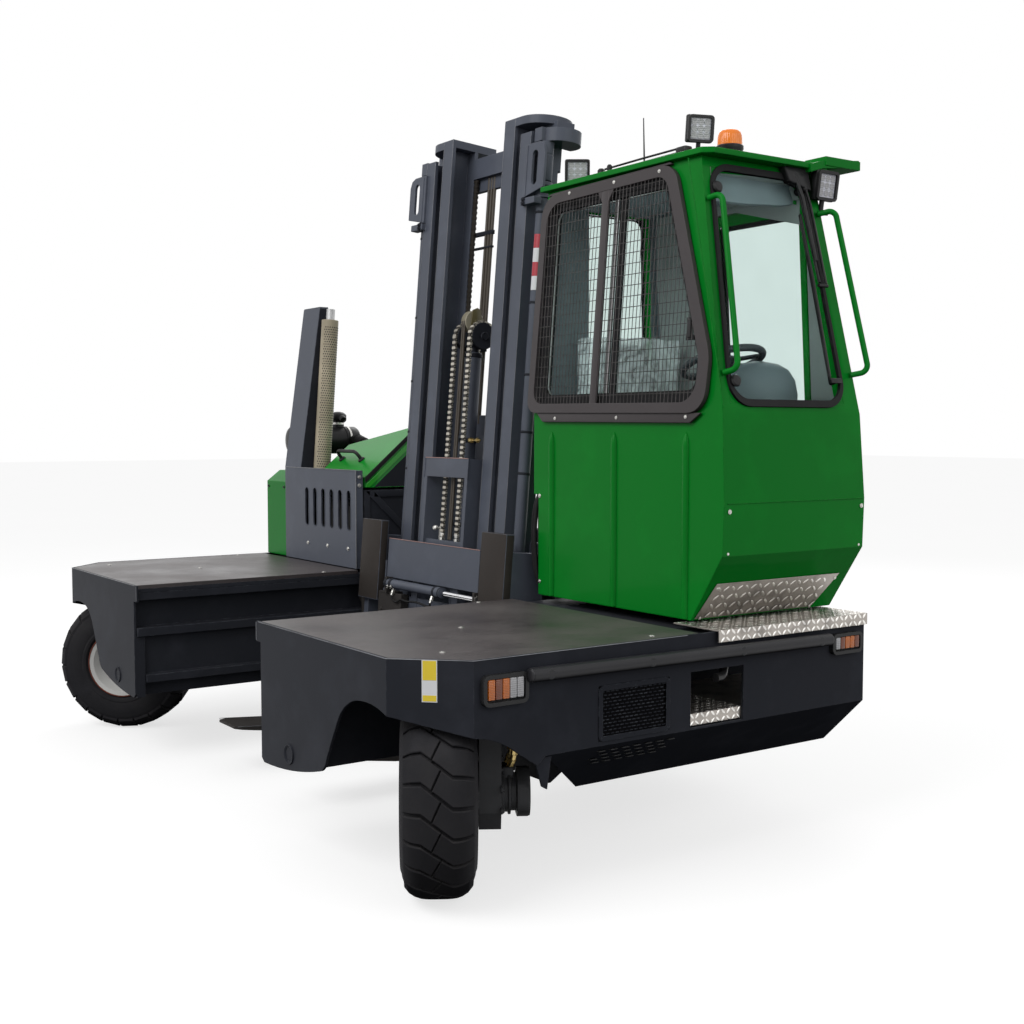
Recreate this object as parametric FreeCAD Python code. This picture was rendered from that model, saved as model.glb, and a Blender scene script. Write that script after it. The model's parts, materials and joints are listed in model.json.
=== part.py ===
# Sideloader: a three-wheeled multi-directional forklift that carries long loads across its deck.
# Two load platforms stand either side of a well. The mast tilts on a reach carriage that
# travels in the well, the cab stands behind the right platform, the engine behind the left.
# Millimetres. +Z is up, +X is the cab end, and the forks point to -Y.
# The functions work with y = 0 at the front of the platforms. The last step moves everything
# forward, so that the origin is on the ground under the middle of the machine as it stands.
import FreeCAD, Part
import math
import os

V = FreeCAD.Vector

# ---- driving dimensions ----
depth = 2250.0                # front of the platforms to the rear of the counterweight
origin_y = 1098.0             # middle of the machine, the turned front wheels included
half_length = 1860.0          # outer face of the platforms
well_half = 693.0             # half the width of the well between the platforms
deck_height = 842.0
deck_depth = 1165.0
board = 18.0                  # deck board
plate = 10.0                  # chassis plate
corner_x = 1664.0             # where the end plate turns into the corner plate
corner_y = 203.0

tyre_radius = 346.0
tyre_width = 250.0
rim_radius = 158.0
front_pivot = (1555.0, 260.0)     # steering axis of the right front wheel
rear_pivot = (0.0, 1806.0)
steer_front_right = -31.6     # how far each wheel stands turned from sideways travel
steer_front_left = 50.0
steer_rear = 8.0

mast_tilt = 4.73              # how far the mast leans back as it stands
tilt_pivot = (1330.0, 450.0)  # y and z of the mast's foot pins
outer_top = 2889.0
inner_top = 2974.0
mast_bottom = 310.0

cab_x0, cab_x1 = 699.0, 1851.0
cab_y0, cab_y1 = 1274.0, 2024.0
cab_z0 = 858.0
cab_cut_z = 1107.0            # the lower front edge is cut back below this height
cab_cut_x = 1688.0
cab_fold_z = 1297.0
cab_crease_x = 1857.0         # the front panel is creased where it is widest
cab_sill_z = 1620.0
cab_sill_x = 1846.0
cab_top_z = 2570.0
cab_top_x = 1643.0
cab_top_y0, cab_top_y1 = 1348.0, 1940.0
cab_wall = 42.0
roof_thickness = 22.0

run_fit = 0.05                # radial clearance of a pin in its bore
nodes = {}


# ---- shape helpers ----
def box(x0, x1, y0, y1, z0, z1):
    return Part.makeBox(abs(x1 - x0), abs(y1 - y0), abs(z1 - z0),
                        V(min(x0, x1), min(y0, y1), min(z0, z1)))


def rod(start, end, radius):
    a, b = V(*start), V(*end)
    return Part.makeCylinder(radius, (b - a).Length, a, b - a)


def tube(start, end, radius, bore):
    return rod(start, end, radius).cut(rod(start, end, bore))


def prism(plane, points, low, high):
    """Extrude an outline along the axis that the plane leaves out."""
    place = {"xz": lambda p: V(p[0], low, p[1]),
             "yz": lambda p: V(low, p[0], p[1]),
             "xy": lambda p: V(p[0], p[1], low)}[plane]
    along = {"xz": V(0, high - low, 0), "yz": V(high - low, 0, 0), "xy": V(0, 0, high - low)}[plane]
    corners = [place(p) for p in points]
    face = Part.Face(Part.makePolygon(corners + corners[:1]))
    return face.extrude(along)


def fuse(first, *others):
    shape = first.multiFuse(list(others)) if others else first
    return shape.removeSplitter()


def mirror_x(shape):
    return shape.mirror(V(0, 0, 0), V(1, 0, 0))


def both_sides(shape):
    return Part.makeCompound([shape, mirror_x(shape)])


def turned(shape, degrees, centre, axis=(0, 0, 1)):
    copy = shape.copy()
    copy.rotate(V(*centre), V(*axis), degrees)
    return copy


def leaned(shape):
    """Lean an upright mast piece back about the foot pins."""
    return turned(shape, -mast_tilt, (0, tilt_pivot[0], tilt_pivot[1]), (1, 0, 0))


def pipe_path(points, radius, bend):
    """A round bar along straight runs joined by tangent arcs."""
    pts = [V(*p) for p in points]
    edges = []
    start = pts[0]
    for before, corner, after in zip(pts, pts[1:], pts[2:]):
        u = (before - corner).normalize()
        w = (after - corner).normalize()
        half = math.acos(max(-1.0, min(1.0, u.dot(w)))) / 2
        back = bend / math.tan(half)
        centre = corner + (u + w).normalize() * (bend / math.sin(half))
        first = corner + u * back
        last = corner + w * back
        middle = centre + (corner - centre).normalize() * bend
        edges.append(Part.makeLine(start, first))
        edges.append(Part.Arc(first, middle, last).toShape())
        start = last
    edges.append(Part.makeLine(start, pts[-1]))
    wire = Part.Wire(edges)
    ring = Part.Wire(Part.makeCircle(radius, pts[0], (pts[1] - pts[0])))
    return wire.makePipeShell([ring], True, False)


# ---- chassis ----
def arch_plate():
    """Front plate of a platform, cut away over the wheel by an arch."""
    start = V(1195, 0, 378)
    edges = [
        Part.makeLine(V(671, 0, deck_height), V(671, 0, 766)),
        Part.makeLine(V(671, 0, 766), V(708, 0, 766)),
        Part.makeLine(V(708, 0, 766), V(708, 0, 328)),
        Part.makeLine(V(708, 0, 328), V(730, 0, 313)),
        Part.Arc(V(730, 0, 313), V(960, 0, 330), start).toShape(),
        Part.Arc(start, V(1220, 0, 392), V(1240, 0, 425)).toShape(),
        Part.makeLine(V(1240, 0, 425), V(1325, 0, 575)),
        Part.Arc(V(1325, 0, 575), V(1395, 0, 646), V(1490, 0, 676)).toShape(),
        Part.Arc(V(1490, 0, 676), V(1580, 0, 676), V(corner_x, 0, 656)).toShape(),
        Part.makeLine(V(corner_x, 0, 656), V(corner_x, 0, deck_height)),
        Part.makeLine(V(corner_x, 0, deck_height), V(671, 0, deck_height)),
    ]
    sheet = Part.Face(Part.Wire(edges)).extrude(V(0, plate, 0))
    tow_hole = rod((948, -5, 388), (948, 20, 388), 26)
    return sheet.cut(tow_hole)


def corner_plate():
    """Slanting plate between the front plate and the side plate."""
    outline = [V(corner_x, 0, 656), V(half_length, corner_y, 594),
               V(half_length, corner_y, deck_height), V(corner_x, 0, deck_height)]
    face = Part.Face(Part.makePolygon(outline + outline[:1]))
    inward = V(-corner_y, half_length - corner_x, 0).normalize() * plate
    return face.extrude(inward)


side_rear = 2031.0
skirt_rear = 2104.0           # the skirt runs further back along its lower edge
fold_z = 501.0
skirt_low = (1598.0, 288.0)


def side_plate():
    """Outer plate of the chassis, with its rising lower edge over the front wheel."""
    x = half_length
    edges = [
        Part.makeLine(V(x, corner_y, deck_height), V(x, corner_y, 594)),
        Part.Arc(V(x, corner_y, 594), V(x, 300, 568), V(x, 371, 524)).toShape(),
        Part.makeLine(V(x, 371, 524), V(x, 450, 472)),
        Part.makeLine(V(x, 450, 472), V(x, 482, fold_z)),
        Part.makeLine(V(x, 482, fold_z), V(x, side_rear, fold_z)),
        Part.makeLine(V(x, side_rear, fold_z), V(x, side_rear, deck_height)),
        Part.makeLine(V(x, side_rear, deck_height), V(x, corner_y, deck_height)),
    ]
    return Part.Face(Part.Wire(edges)).extrude(V(-plate, 0, 0))


def skirt_plate():
    """Lower plate that slants in under the side plate."""
    low_x, low_z = skirt_low
    outline = [V(half_length, 482, fold_z), V(half_length, side_rear, fold_z),
               V(low_x, skirt_rear, low_z), V(low_x, 808, low_z)]
    face = Part.Face(Part.makePolygon(outline + outline[:1]))
    end = [V(half_length - 6, side_rear, fold_z), V(low_x, skirt_rear, low_z), V(low_x, side_rear, fold_z)]
    closing = Part.Face(Part.makePolygon(end + end[:1])).extrude(V(0, -plate, 0))
    return fuse(face.extrude(V(-6, 0, 8)), closing)


def platform_frame(with_steps):
    """Welded box of one platform: plates outside, pan under the boards, wheel housing."""
    pan_top = deck_height - board
    pan = prism("xy", [(well_half, plate), (corner_x - 6, plate), (half_length - plate, corner_y + 6),
                       (half_length - plate, side_rear), (well_half, side_rear)],
                pan_top - 18, pan_top)
    housing = rod((front_pivot[0], front_pivot[1], 770), (front_pivot[0], front_pivot[1], pan_top - 9), 165)
    housing_bore = rod((front_pivot[0], front_pivot[1], 760), (front_pivot[0], front_pivot[1], 802), 40 + run_fit)
    wheel_wall = box(1150, 1160, plate, 665, 378, pan_top - 9)
    wheel_back = prism("xz", [(1150, 330), (1628, 330), (1840, 500), (half_length - 5, 506),
                              (half_length - 5, pan_top - 9), (1150, pan_top - 9)], 665, 675)
    floor = box(776, 1155, 690, 1120, 315, 325)
    return_flange = box(708, 718, plate, 50, 313, 600)
    inner_wall = box(1150, 1160, 660, 1125, 315, pan_top - 9)
    step_front = prism("xz", [(776, 315), (1628, 330), (1840, 500), (half_length - 5, 506),
                              (half_length - 5, pan_top - 9), (776, pan_top - 9)], 1112, 1122)
    rear_rail = box(776, half_length - plate, side_rear - 12, side_rear, 720, pan_top)
    shell = fuse(arch_plate(), corner_plate(), side_plate(), skirt_plate(), pan, housing, wheel_wall,
                 wheel_back, floor, return_flange, inner_wall, step_front, rear_rail)
    shell = shell.cut(housing_bore)
    if with_steps:
        opening = box(half_length - 40, half_length + 10, 1118, 1376, 508, 708)
        grille = box(half_length - 40, half_length + 10, 702, 1018, 516, 704)
        step_back = box(1370, 1380, 1122, side_rear - 12, 330, pan_top - 18)
        shell = fuse(shell.cut(opening).cut(grille), step_back)
    return shell


def guide_beam():
    """Beam along the well: the reach carriage's rollers run between its upper flanges."""
    y0, y1 = plate, 2100.0
    return fuse(
        box(well_half, 775, y0 + 2, y1, 770, 806),
        box(763, 775, y0 + 2, y1, 313, 806),
        box(well_half, 775, y0 + 2, y1, 600, 640),
        box(728, 740, y0 + 42, y1, 400, 610),
        box(well_half, 775, y0 + 42, y1, 381, 418))


def deck_board():
    front, side = plate + 1, half_length - plate - 1
    return prism("xy", [(well_half, front), (corner_x - 5, front), (side, corner_y + 5),
                        (side, deck_depth), (well_half, deck_depth)],
                 deck_height - board, deck_height)


def bumper_tube():
    bar = rod((1888, 404, 779), (1888, 1800, 766), 24)
    studs = [rod((half_length, y, 779 - (y - 404) * 0.0093), (1880, y, 779 - (y - 404) * 0.0093), 9)
             for y in (470, 900, 1330, 1740)]
    return fuse(bar, *studs)


def marker_lamps():
    """Lamp blocks at both ends of the side plate."""
    front = box(half_length, half_length + 22, 229, 398, 694, 790)
    rear = box(half_length, half_length + 22, 1834, 1997, 702, 778)
    return Part.makeCompound([front, rear])


def boarding_steps():
    """Tread plates: the step inside the side opening and the landing beside the cab."""
    step = fuse(box(1385, 1848, 1126, 2010, 549, 555), box(1842, 1848, 1126, 2010, 512, 555))
    landing = fuse(box(1640, 1882, 1232, 2024, deck_height + 1, deck_height + 7),
                   box(1876, 1882, 1232, 2024, 805, deck_height + 7))
    return [step, landing]


def rear_frame():
    """Cross box over the rear wheel, with its steering housing and the posts of the bumper."""
    px, py = rear_pivot
    cross = box(-well_half, well_half, 1662, 2183, 770, 880)
    bore = rod((px, py, 760), (px, py, 802), 40 + run_fit)
    legs = [box(s * 560, s * 692, 2110, 2183, 450, 830) for s in (-1, 1)]
    return fuse(cross, *legs).cut(bore)


def counterweight():
    slab = box(-860, 860, 2183, depth, 430, 1020)
    return slab.makeFillet(20, [e for e in slab.Edges if e.BoundBox.YMin > depth - 1])


def chassis():
    right = platform_frame(True)
    nodes["platform_frame_right"] = right
    nodes["platform_frame_left"] = mirror_x(platform_frame(False))
    nodes["deck_boards"] = both_sides(deck_board())
    nodes["guide_beams"] = both_sides(guide_beam())
    nodes["bumper_tubes"] = both_sides(bumper_tube())
    lamps = marker_lamps()
    nodes["marker_lamps"] = Part.makeCompound([lamps, mirror_x(lamps)])
    nodes["rear_frame"] = rear_frame()
    nodes["counterweight"] = counterweight()


# ---- engine side ----
hood_x0, hood_x1 = -1278.0, -740.0
hood_hinge = (2062.0, 1262.0)  # y and z of the bonnet's hinge pins
hood_hinge_x = (-1180.0, -860.0)
slope = 0.844                 # rise of the bonnet's front for each millimetre back


def engine_side():
    engine = box(-1560, -900, 1330, 1960, 826, 1180)
    nodes["engine_block"] = engine

    # fixed cover at the outer end, lower than the bonnet
    profile = [(1196, 844), (1196, 1265), (1275, 1326), (2060, 1345), (2060, 844)]
    outer = prism("yz", profile, -1856, hood_x0 - 6)
    inner = prism("yz", [(1226, 830), (1226, 1240), (1285, 1290), (2030, 1308), (2030, 830)],
                  -1826, hood_x0 + 10)
    post_room = box(-1602, -1280, 1150, 1262, 800, 1400)
    post_top_room = box(-1602, -1366, 1150, 1345, 1270, 1400)
    exhaust_room = rod((-1340, 1288, 1200), (-1340, 1288, 1400), 40)
    nodes["engine_cover"] = outer.cut(inner).cut(post_room).cut(post_top_room).cut(exhaust_room)

    # bonnet: a sloping lid with a top that falls towards the outer end
    def lid(inset, low):
        x0, x1 = hood_x0 + inset, hood_x1 - inset
        y0, y1 = 1235.0 + inset, 2050.0 - inset
        wires = []
        for x, top in ((x0, 1478.0 - inset), (x1, 1584.0 - inset)):
            front = 1316.0 - inset
            ridge = y0 + (top - front) / slope
            pts = [V(x, y0, low), V(x, y0, front), V(x, ridge, top), V(x, y1, top), V(x, y1, low)]
            wires.append(Part.makePolygon(pts + pts[:1]))
        return Part.makeLoft(wires, True, True)

    def hinge_rod(x0, x1, radius):
        return rod((x0, *hood_hinge), (x1, *hood_hinge), radius)

    knuckles = [fuse(hinge_rod(x - 38, x - 4, 10), box(x - 38, x - 4, 2046, 2062, 1262, 1272))
                for x in hood_hinge_x]
    pin_room = [hinge_rod(x - 44, x, 5 + run_fit) for x in hood_hinge_x]
    nodes["engine_hood"] = fuse(lid(0, 1262.0).cut(lid(8, 1200.0)), *knuckles).cut(fuse(*pin_room))

    # side wall of the engine bay towards the mast and the rear wall
    side = box(hood_x1 - 12, hood_x1 - 2, 1226, 2040, 844, 1250)
    rear = box(hood_x0, hood_x1 - 13, 2030, 2040, 844, 1250)
    lugs = [box(x, x + 30, 2038, 2062, 1226, 1250) for x in hood_hinge_x]
    ears = [box(x, x + 30, 2056, 2068, 1240, 1268) for x in hood_hinge_x]
    pins = [hinge_rod(x - 40, x + 28, 5) for x in hood_hinge_x]
    nodes["engine_bay_wall"] = Part.makeCompound([side, fuse(rear, *lugs, *ears, *pins)])

    # slotted guard with its leaning post
    sheet = box(-1556, -728, 1176, 1184, 844, 1352)
    fold_top = box(-1556, -728, 1176, 1212, 1344, 1352)
    fold_side = box(-736, -728, 1176, 1216, 844, 1352)
    for k in range(6):
        x = -1295 + 97.5 * k
        slot = fuse(box(x - 21, x + 21, 1170, 1190, 1060, 1226),
                    rod((x, 1170, 1060), (x, 1190, 1060), 21), rod((x, 1170, 1226), (x, 1190, 1226), 21))
        sheet = sheet.cut(slot)
    post_profile = [(1186, 844), (1186, 1352), (1312, 2240), (1366, 2240), (1296, 1352), (1250, 844)]
    post_outer = prism("yz", post_profile, -1590, -1390)
    rib = prism("yz", [(1293, 1352), (1352, 2060), (1366, 2060), (1330, 1352)], -1588, -1578)
    nodes["load_guard"] = fuse(sheet, fold_top, fold_side, post_outer, rib)

    # exhaust stack and its perforated guard beside the post
    low = V(-1340, 1291, 1338)
    high = V(-1340, 1352, 2190)
    along = (high - low).normalize()
    pipe = Part.makeCylinder(24, 910, low - along * 18, along)
    guard = Part.makeCylinder(46, 832, low, along)
    hollow = Part.makeCylinder(43.5, 842, low - along * 5, along)
    nodes["exhaust_stack"] = Part.makeCompound([pipe, guard.cut(hollow)])

    # air cleaner: canister, rain cap and outlet bend
    canister = rod((-1680, 1255, 1500), (-1680, 1690, 1500), 80)
    neck = rod((-1680, 1570, 1540), (-1680, 1570, 1640), 36)
    cap = rod((-1680, 1570, 1618), (-1680, 1570, 1664), 48)
    bend = rod((-1640, 1640, 1490), (-1450, 1640, 1490), 36)
    feet = [box(-1730, -1630, y, y + 40, 1338, 1450) for y in (1380, 1600)]
    nodes["air_cleaner"] = fuse(canister, neck, cap, bend, *feet)

    # tank under the right deck
    nodes["fuel_tank"] = box(790, 1130, 1140, 1640, 420, 790)


# ---- cab ----
def cab_block(inset, roof_drop=0.0, floor_lift=0.0):
    """Outer form of the cab, or its hollow when inset."""
    def ring(x0, x1, y0, y1, z):
        pts = [V(x0, y0, z), V(x1, y0, z), V(x1, y1, z), V(x0, y1, z)]
        return Part.makePolygon(pts + pts[:1])
    i = inset
    rings = [
        ring(cab_x0 + i, cab_cut_x - i, cab_y0 + i, cab_y1 - i, cab_z0 + floor_lift),
        ring(cab_x0 + i, cab_x1 - i, cab_y0 + i, cab_y1 - i, cab_cut_z),
        ring(cab_x0 + i, cab_crease_x - i, cab_y0 + i, cab_y1 - i, cab_fold_z),
        ring(cab_x0 + i, cab_sill_x - i, cab_y0 + i, far_side(cab_sill_z) - i, cab_sill_z),
        ring(cab_x0 + i, cab_top_x - i, cab_top_y0 + i, cab_top_y1 - i, cab_top_z - roof_drop),
    ]
    return Part.makeLoft(rings, True, True)


def far_side(z):
    """Depth of the cab's door side at a height: upright, then leaning in above the fold."""
    share = max(0.0, (z - cab_fold_z) / (cab_top_z - cab_fold_z))
    return cab_y1 + (cab_top_y1 - cab_y1) * share


def near_side(z):
    share = max(0.0, (z - cab_sill_z) / (cab_top_z - cab_sill_z))
    return cab_y0 + (cab_top_y0 - cab_y0) * share


def front_side(z):
    share = max(0.0, (z - cab_sill_z) / (cab_top_z - cab_sill_z))
    return cab_sill_x + (cab_top_x - cab_sill_x) * share


side_window_outline = [(745, 1690), (1705, 1690), (1712, 1840), (1470, 2500), (745, 2500)]
door_x0, door_x1 = 1060.0, 1640.0
door_z0, door_z1 = 920.0, 2462.0
screen_z0, screen_z1 = 1660.0, 2530.0


def screen_outline(margin):
    """Windscreen outline on the leaning front, as corner points in 3-D."""
    rows = []
    for z, y0, y1 in ((screen_z0 - margin, 1318, 1918), (screen_z1 + margin, 1384, 1868)):
        rows.append((V(front_side(z), y0 - margin, z), V(front_side(z), y1 + margin, z)))
    return [rows[0][0], rows[0][1], rows[1][1], rows[1][0]]


door_hinge = (1060.0, 2038.0)  # x and y of the door's hinge pins


def hinge_halves(on_door):
    """Door hinges: pins and lugs on the post, knuckles on the door."""
    x, y = door_hinge
    made = []
    for z in (1040.0, 2150.0):
        wall = far_side(z + 80) - 8
        if on_door:
            arm = box(x, x + 40, wall, y + 6, z + 32, z + 68)
            knuckle = rod((x, y, z + 32), (x, y, z + 68), 12)
            made.append(fuse(arm, knuckle).cut(rod((x, y, z), (x, y, z + 100), 6 + run_fit)))
        else:
            pin = rod((x, y, z), (x, y, z + 100), 6)
            for low in (z, z + 76):
                made.append(fuse(box(x - 30, x, wall, y + 6, low, low + 24), rod((x, y, low), (x, y, low + 24), 12)))
            made.append(pin)
    return made


def cab():
    outer = cab_block(0)
    hollow = cab_block(cab_wall, 30.0, 40.0)
    shell = outer.cut(hollow)
    # openings: side window, rear window, windscreen, door
    shell = shell.cut(prism("xz", side_window_outline, cab_y0 - 30, cab_top_y0 + cab_wall + 20))
    rear_opening = prism("yz", [(1535, 1690), (1900, 1690), (1880, 2500), (1535, 2500)],
                         cab_x0 - 20, cab_x0 + cab_wall + 20)
    shell = shell.cut(rear_opening)
    pts = screen_outline(0)
    hole = Part.Face(Part.makePolygon(pts + pts[:1]))
    front_cut = hole.extrude(V(-110, 0, -25)).fuse(hole.extrude(V(60, 0, 14)))
    shell = shell.cut(front_cut)
    door_cut = box(door_x0, door_x1, 1800, 2100, door_z0, door_z1)
    shell = shell.cut(door_cut)
    roof_cut = box(980, 1480, 1460, 1830, cab_top_z - 60, cab_top_z + 20)
    shell = shell.cut(roof_cut)
    # the lower walls stand in from the corner beside the mast
    shell = shell.cut(box(cab_x0 - 5, cab_x0 + 32, cab_y0 - 5, cab_y1 + 5, cab_z0 - 5, cab_fold_z - 10))
    shell = fuse(shell, *hinge_halves(False))
    nodes["cab_shell"] = shell

    # roof: flat panel with a visor at the front and a bracket past the door side
    roof = prism("xy", [(675, 1322), (1668, 1322), (1700, 1360), (1700, 1960), (675, 1960)],
                 cab_top_z + 1, cab_top_z + 1 + roof_thickness)
    roof = roof.cut(box(980, 1480, 1460, 1830, cab_top_z - 10, cab_top_z + 80))
    bracket = box(1600, 1712, 1940, 2140, cab_top_z + 18, cab_top_z + 54)
    nodes["cab_roof"] = fuse(roof, bracket)

    # glass
    lean = math.degrees(math.atan2(cab_top_y0 - cab_y0, cab_top_z - cab_sill_z))
    side_glass = prism("xz", [(750, 1695), (1698, 1695), (1703, 1838), (1466, 2494), (750, 2494)], 0, 6)
    side_glass.translate(V(0, near_side(1690) + 16, 0))
    side_glass = turned(side_glass, -lean, (0, near_side(1690) + 16, 1690), (1, 0, 0))
    rear_glass = prism("yz", [(1541, 1695), (1894, 1695), (1875, 2494), (1541, 2494)], cab_x0 + 16, cab_x0 + 22)
    roof_glass = box(985, 1475, 1465, 1825, cab_top_z + 10, cab_top_z + 16)
    nodes["cab_windows"] = Part.makeCompound([side_glass, rear_glass, roof_glass])
    inner = screen_outline(-5)
    normal = (inner[1] - inner[0]).cross(inner[3] - inner[0]).normalize()
    if normal.x > 0:
        normal = normal * -1
    screen = Part.Face(Part.makePolygon(inner + inner[:1]))
    screen.translate(normal * 10)
    nodes["windscreen"] = screen.extrude(normal * 6)

    # wire guard over the side window: frame and mesh as one thin sheet
    guard_outline = [(684, 1640), (1748, 1630), (1757, 1831), (1500, 2540), (700, 2534)]
    guard = prism("xz", guard_outline, 0, 16)
    guard_hole = prism("xz", [(716, 1686), (1706, 1678), (1714, 1826), (1472, 2502), (728, 2498)], -5, 11)
    guard = guard.cut(guard_hole)
    guard.translate(V(0, near_side(1620) - 19, 0))
    guard = turned(guard, -lean, (0, near_side(1620), 1620), (1, 0, 0))
    nodes["window_guard"] = guard

    # tread plate on the cut-back lower front edge
    along = V(cab_x1 - cab_cut_x, 0, cab_cut_z - cab_z0)
    low = V(cab_cut_x, 0, cab_z0) + along * 0.03
    high = V(cab_cut_x, 0, cab_z0) + along * 0.58
    pts = [V(low.x, 1285, low.z), V(low.x, 1905, low.z), V(high.x, 1968, high.z), V(high.x, 1312, high.z)]
    kick = Part.Face(Part.makePolygon(pts + pts[:1]))
    out = V(along.z, 0, -along.x).normalize()
    kick.translate(out * 2)
    nodes["tread_plates"] = Part.makeCompound(boarding_steps() + [kick.extrude(out * 3)])

    # door: the door side's wall between the posts, hung on its rear edge
    gap, latch_gap = 6.0, 13.0
    leaf = outer.cut(cab_block(cab_wall - 4, 30.0, 40.0))
    leaf = leaf.common(box(door_x0 + gap, door_x1 - latch_gap, 1850, 2100, door_z0 + gap, door_z1 - gap))
    pane_hole = box(door_x0 + 60, door_x1 - 42, 1800, 2100, 1400, door_z1 - 42)
    nodes["cab_door"] = fuse(leaf.cut(pane_hole), *hinge_halves(True))
    door_lean = math.degrees(math.atan2(cab_y1 - cab_top_y1, cab_top_z - cab_fold_z))
    pane = box(door_x0 + 63, door_x1 - 45, far_side(1400) - 24, far_side(1400) - 18, 1404, door_z1 - 46)
    nodes["door_glass"] = turned(pane, door_lean, (0, far_side(1400) - 18, 1400), (1, 0, 0))

    cab_inside()
    cab_outside()


def cab_inside():
    base = box(880, 1330, 1470, 1850, 900, 1180)
    cushion = box(860, 1340, 1450, 1870, 1180, 1300)
    back = prism("xz", [(800, 1300), (900, 1300), (860, 1800), (780, 1800)], 1460, 1860)
    nodes["seat"] = fuse(base, cushion, back)
    pod = box(1540, 1740, 1560, 1760, 1150, 1640)
    column = rod((1600, 1660, 1560), (1462, 1660, 1806), 32)
    wheel = Part.makeTorus(175, 14, V(0, 0, 0), V(0, 0, 1))
    spokes = [box(-176, 176, -12, 12, -6, 6), rod((0, 0, -20), (0, 0, 12), 34)]
    rim = fuse(wheel, *spokes)
    rim.rotate(V(0, 0, 0), V(0, 1, 0), -29)
    rim.translate(V(1458, 1660, 1812))
    nodes["steering_console"] = fuse(pod, column, rim)


def handrail(y_top, y_bottom, z_top, z_bottom, lean_y):
    """Grab rail that stands off the front posts."""
    top = V(front_side(z_top), y_top, z_top)
    bottom = V(front_side(z_bottom), y_bottom, z_bottom)
    out = V(cab_top_z - cab_sill_z, 0, cab_sill_x - cab_top_x).normalize()
    shift = V(0, lean_y, 0)
    p = [top + out * 8, top + out * 66 + shift, bottom + out * 66 + shift, bottom + out * 8]
    return pipe_path([tuple(q) for q in p], 11, 30)


def cab_outside():
    near = handrail(1345, 1300, 2405, 1765, 14)
    far = handrail(1925, 1978, 2400, 1772, 34)
    nodes["handrails"] = Part.makeCompound([near, far])
    top = cab_top_z + 1 + roof_thickness

    def lamp(x, y, stem, turn):
        body = box(-20, 20, -53, 53, stem, stem + 104)
        foot = box(-14, 14, -14, 14, 0, stem)
        one = fuse(body, foot)
        one.rotate(V(0, 0, 0), V(0, 0, 1), turn)
        one.translate(V(x, y, top))
        return one
    front = lamp(1550, 1425, 46, -20)
    rear = lamp(800, 1425, 6, -35)
    hung = box(1674, 1712, 1964, 2082, cab_top_z - 100, cab_top_z + 18)
    nodes["work_lights"] = Part.makeCompound([front, rear, hung])
    nodes["beacon"] = fuse(rod((1490, 1640, top), (1490, 1640, top + 36), 54),
                           rod((1490, 1640, top + 36), (1490, 1640, top + 130), 49))


# ---- reach carriage and mast ----
def reach_carriage():
    """Frame that runs in the guide beams and carries the mast's foot pins."""
    py, pz = tilt_pivot
    side = box(650, 684, 1180, 1640, 365, 765)
    rollers = [rod((684, y, 705), (755, y, 705), 60) for y in (1262, 1560)]
    shelf = box(460, 660, 1416, 1432, 330, 560)
    pin = rod((470, py, pz), (660, py, pz), 28)
    horn = box(600, 655, 1560, 1640, 520, 720)
    tilt_pin = rod((545, tilt_base[1], tilt_base[2]), (610, tilt_base[1], tilt_base[2]), 14)
    right = fuse(side, shelf, pin, horn, tilt_pin, *rollers)
    cross = box(-465, 465, 1416, 1428, 330, 440)
    nodes["reach_carriage"] = fuse(right, mirror_x(right), cross)


rail_y0, rail_y1 = 1241.0, 1401.0
lift_x, lift_y = 495.0, 1290.0


def outer_mast():
    rail = fuse(box(425, 445, rail_y0, rail_y1, mast_bottom, outer_top),
                box(365, 445, rail_y0, rail_y0 + 18, mast_bottom, outer_top),
                box(365, 445, rail_y1 - 18, rail_y1, mast_bottom, outer_top))
    foot = fuse(box(440, 642, 1285, 1375, 392, 508), box(440, 560, 1230, 1330, 440, 512))
    foot_bore = rod((440, tilt_pivot[0], tilt_pivot[1]), (650, tilt_pivot[0], tilt_pivot[1]), 28 + run_fit)
    post = fuse(box(449, 642, 1117, 1160, 700, 1098), box(600, 642, 1155, 1330, 480, 1020),
                box(440, 642, 1155, 1170, 720, 900))
    arm = box(440, 520, 1150, 1245, 720, 760)
    eye = prism("xz", [(425, 2590), (576, 2620), (576, 2780), (562, 2812), (530, 2826), (425, 2826)],
                rail_y0 - 14, rail_y0)
    slot = fuse(box(484, 526, rail_y0 - 20, rail_y0 + 5, 2660, 2770),
                *[rod((505, rail_y0 - 20, z), (505, rail_y0 + 5, z), 21) for z in (2660, 2770)])
    eye = eye.cut(slot)
    clamp = box(425, 530, 1219, 1260, 2556, 2586)
    tilt_lug = box(440, 527, 1385, 1430, 980, 1060)
    right = fuse(rail, foot, post, arm, eye, clamp, tilt_lug).cut(foot_bore)
    ties = [box(-445, 445, rail_y1, rail_y1 + 14, z0, z1) for z0, z1 in ((560, 700), (1500, 1640), (2740, 2880))]
    nodes["outer_mast"] = leaned(fuse(right, mirror_x(right), *ties))

    barrel = tube((lift_x, lift_y, 512), (lift_x, lift_y, 2600), 27, 18 + run_fit)
    gland = tube((lift_x, lift_y, 2590), (lift_x, lift_y, 2660), 38, 18 + run_fit)
    nodes["lift_cylinders"] = leaned(both_sides(fuse(barrel, gland)))


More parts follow.
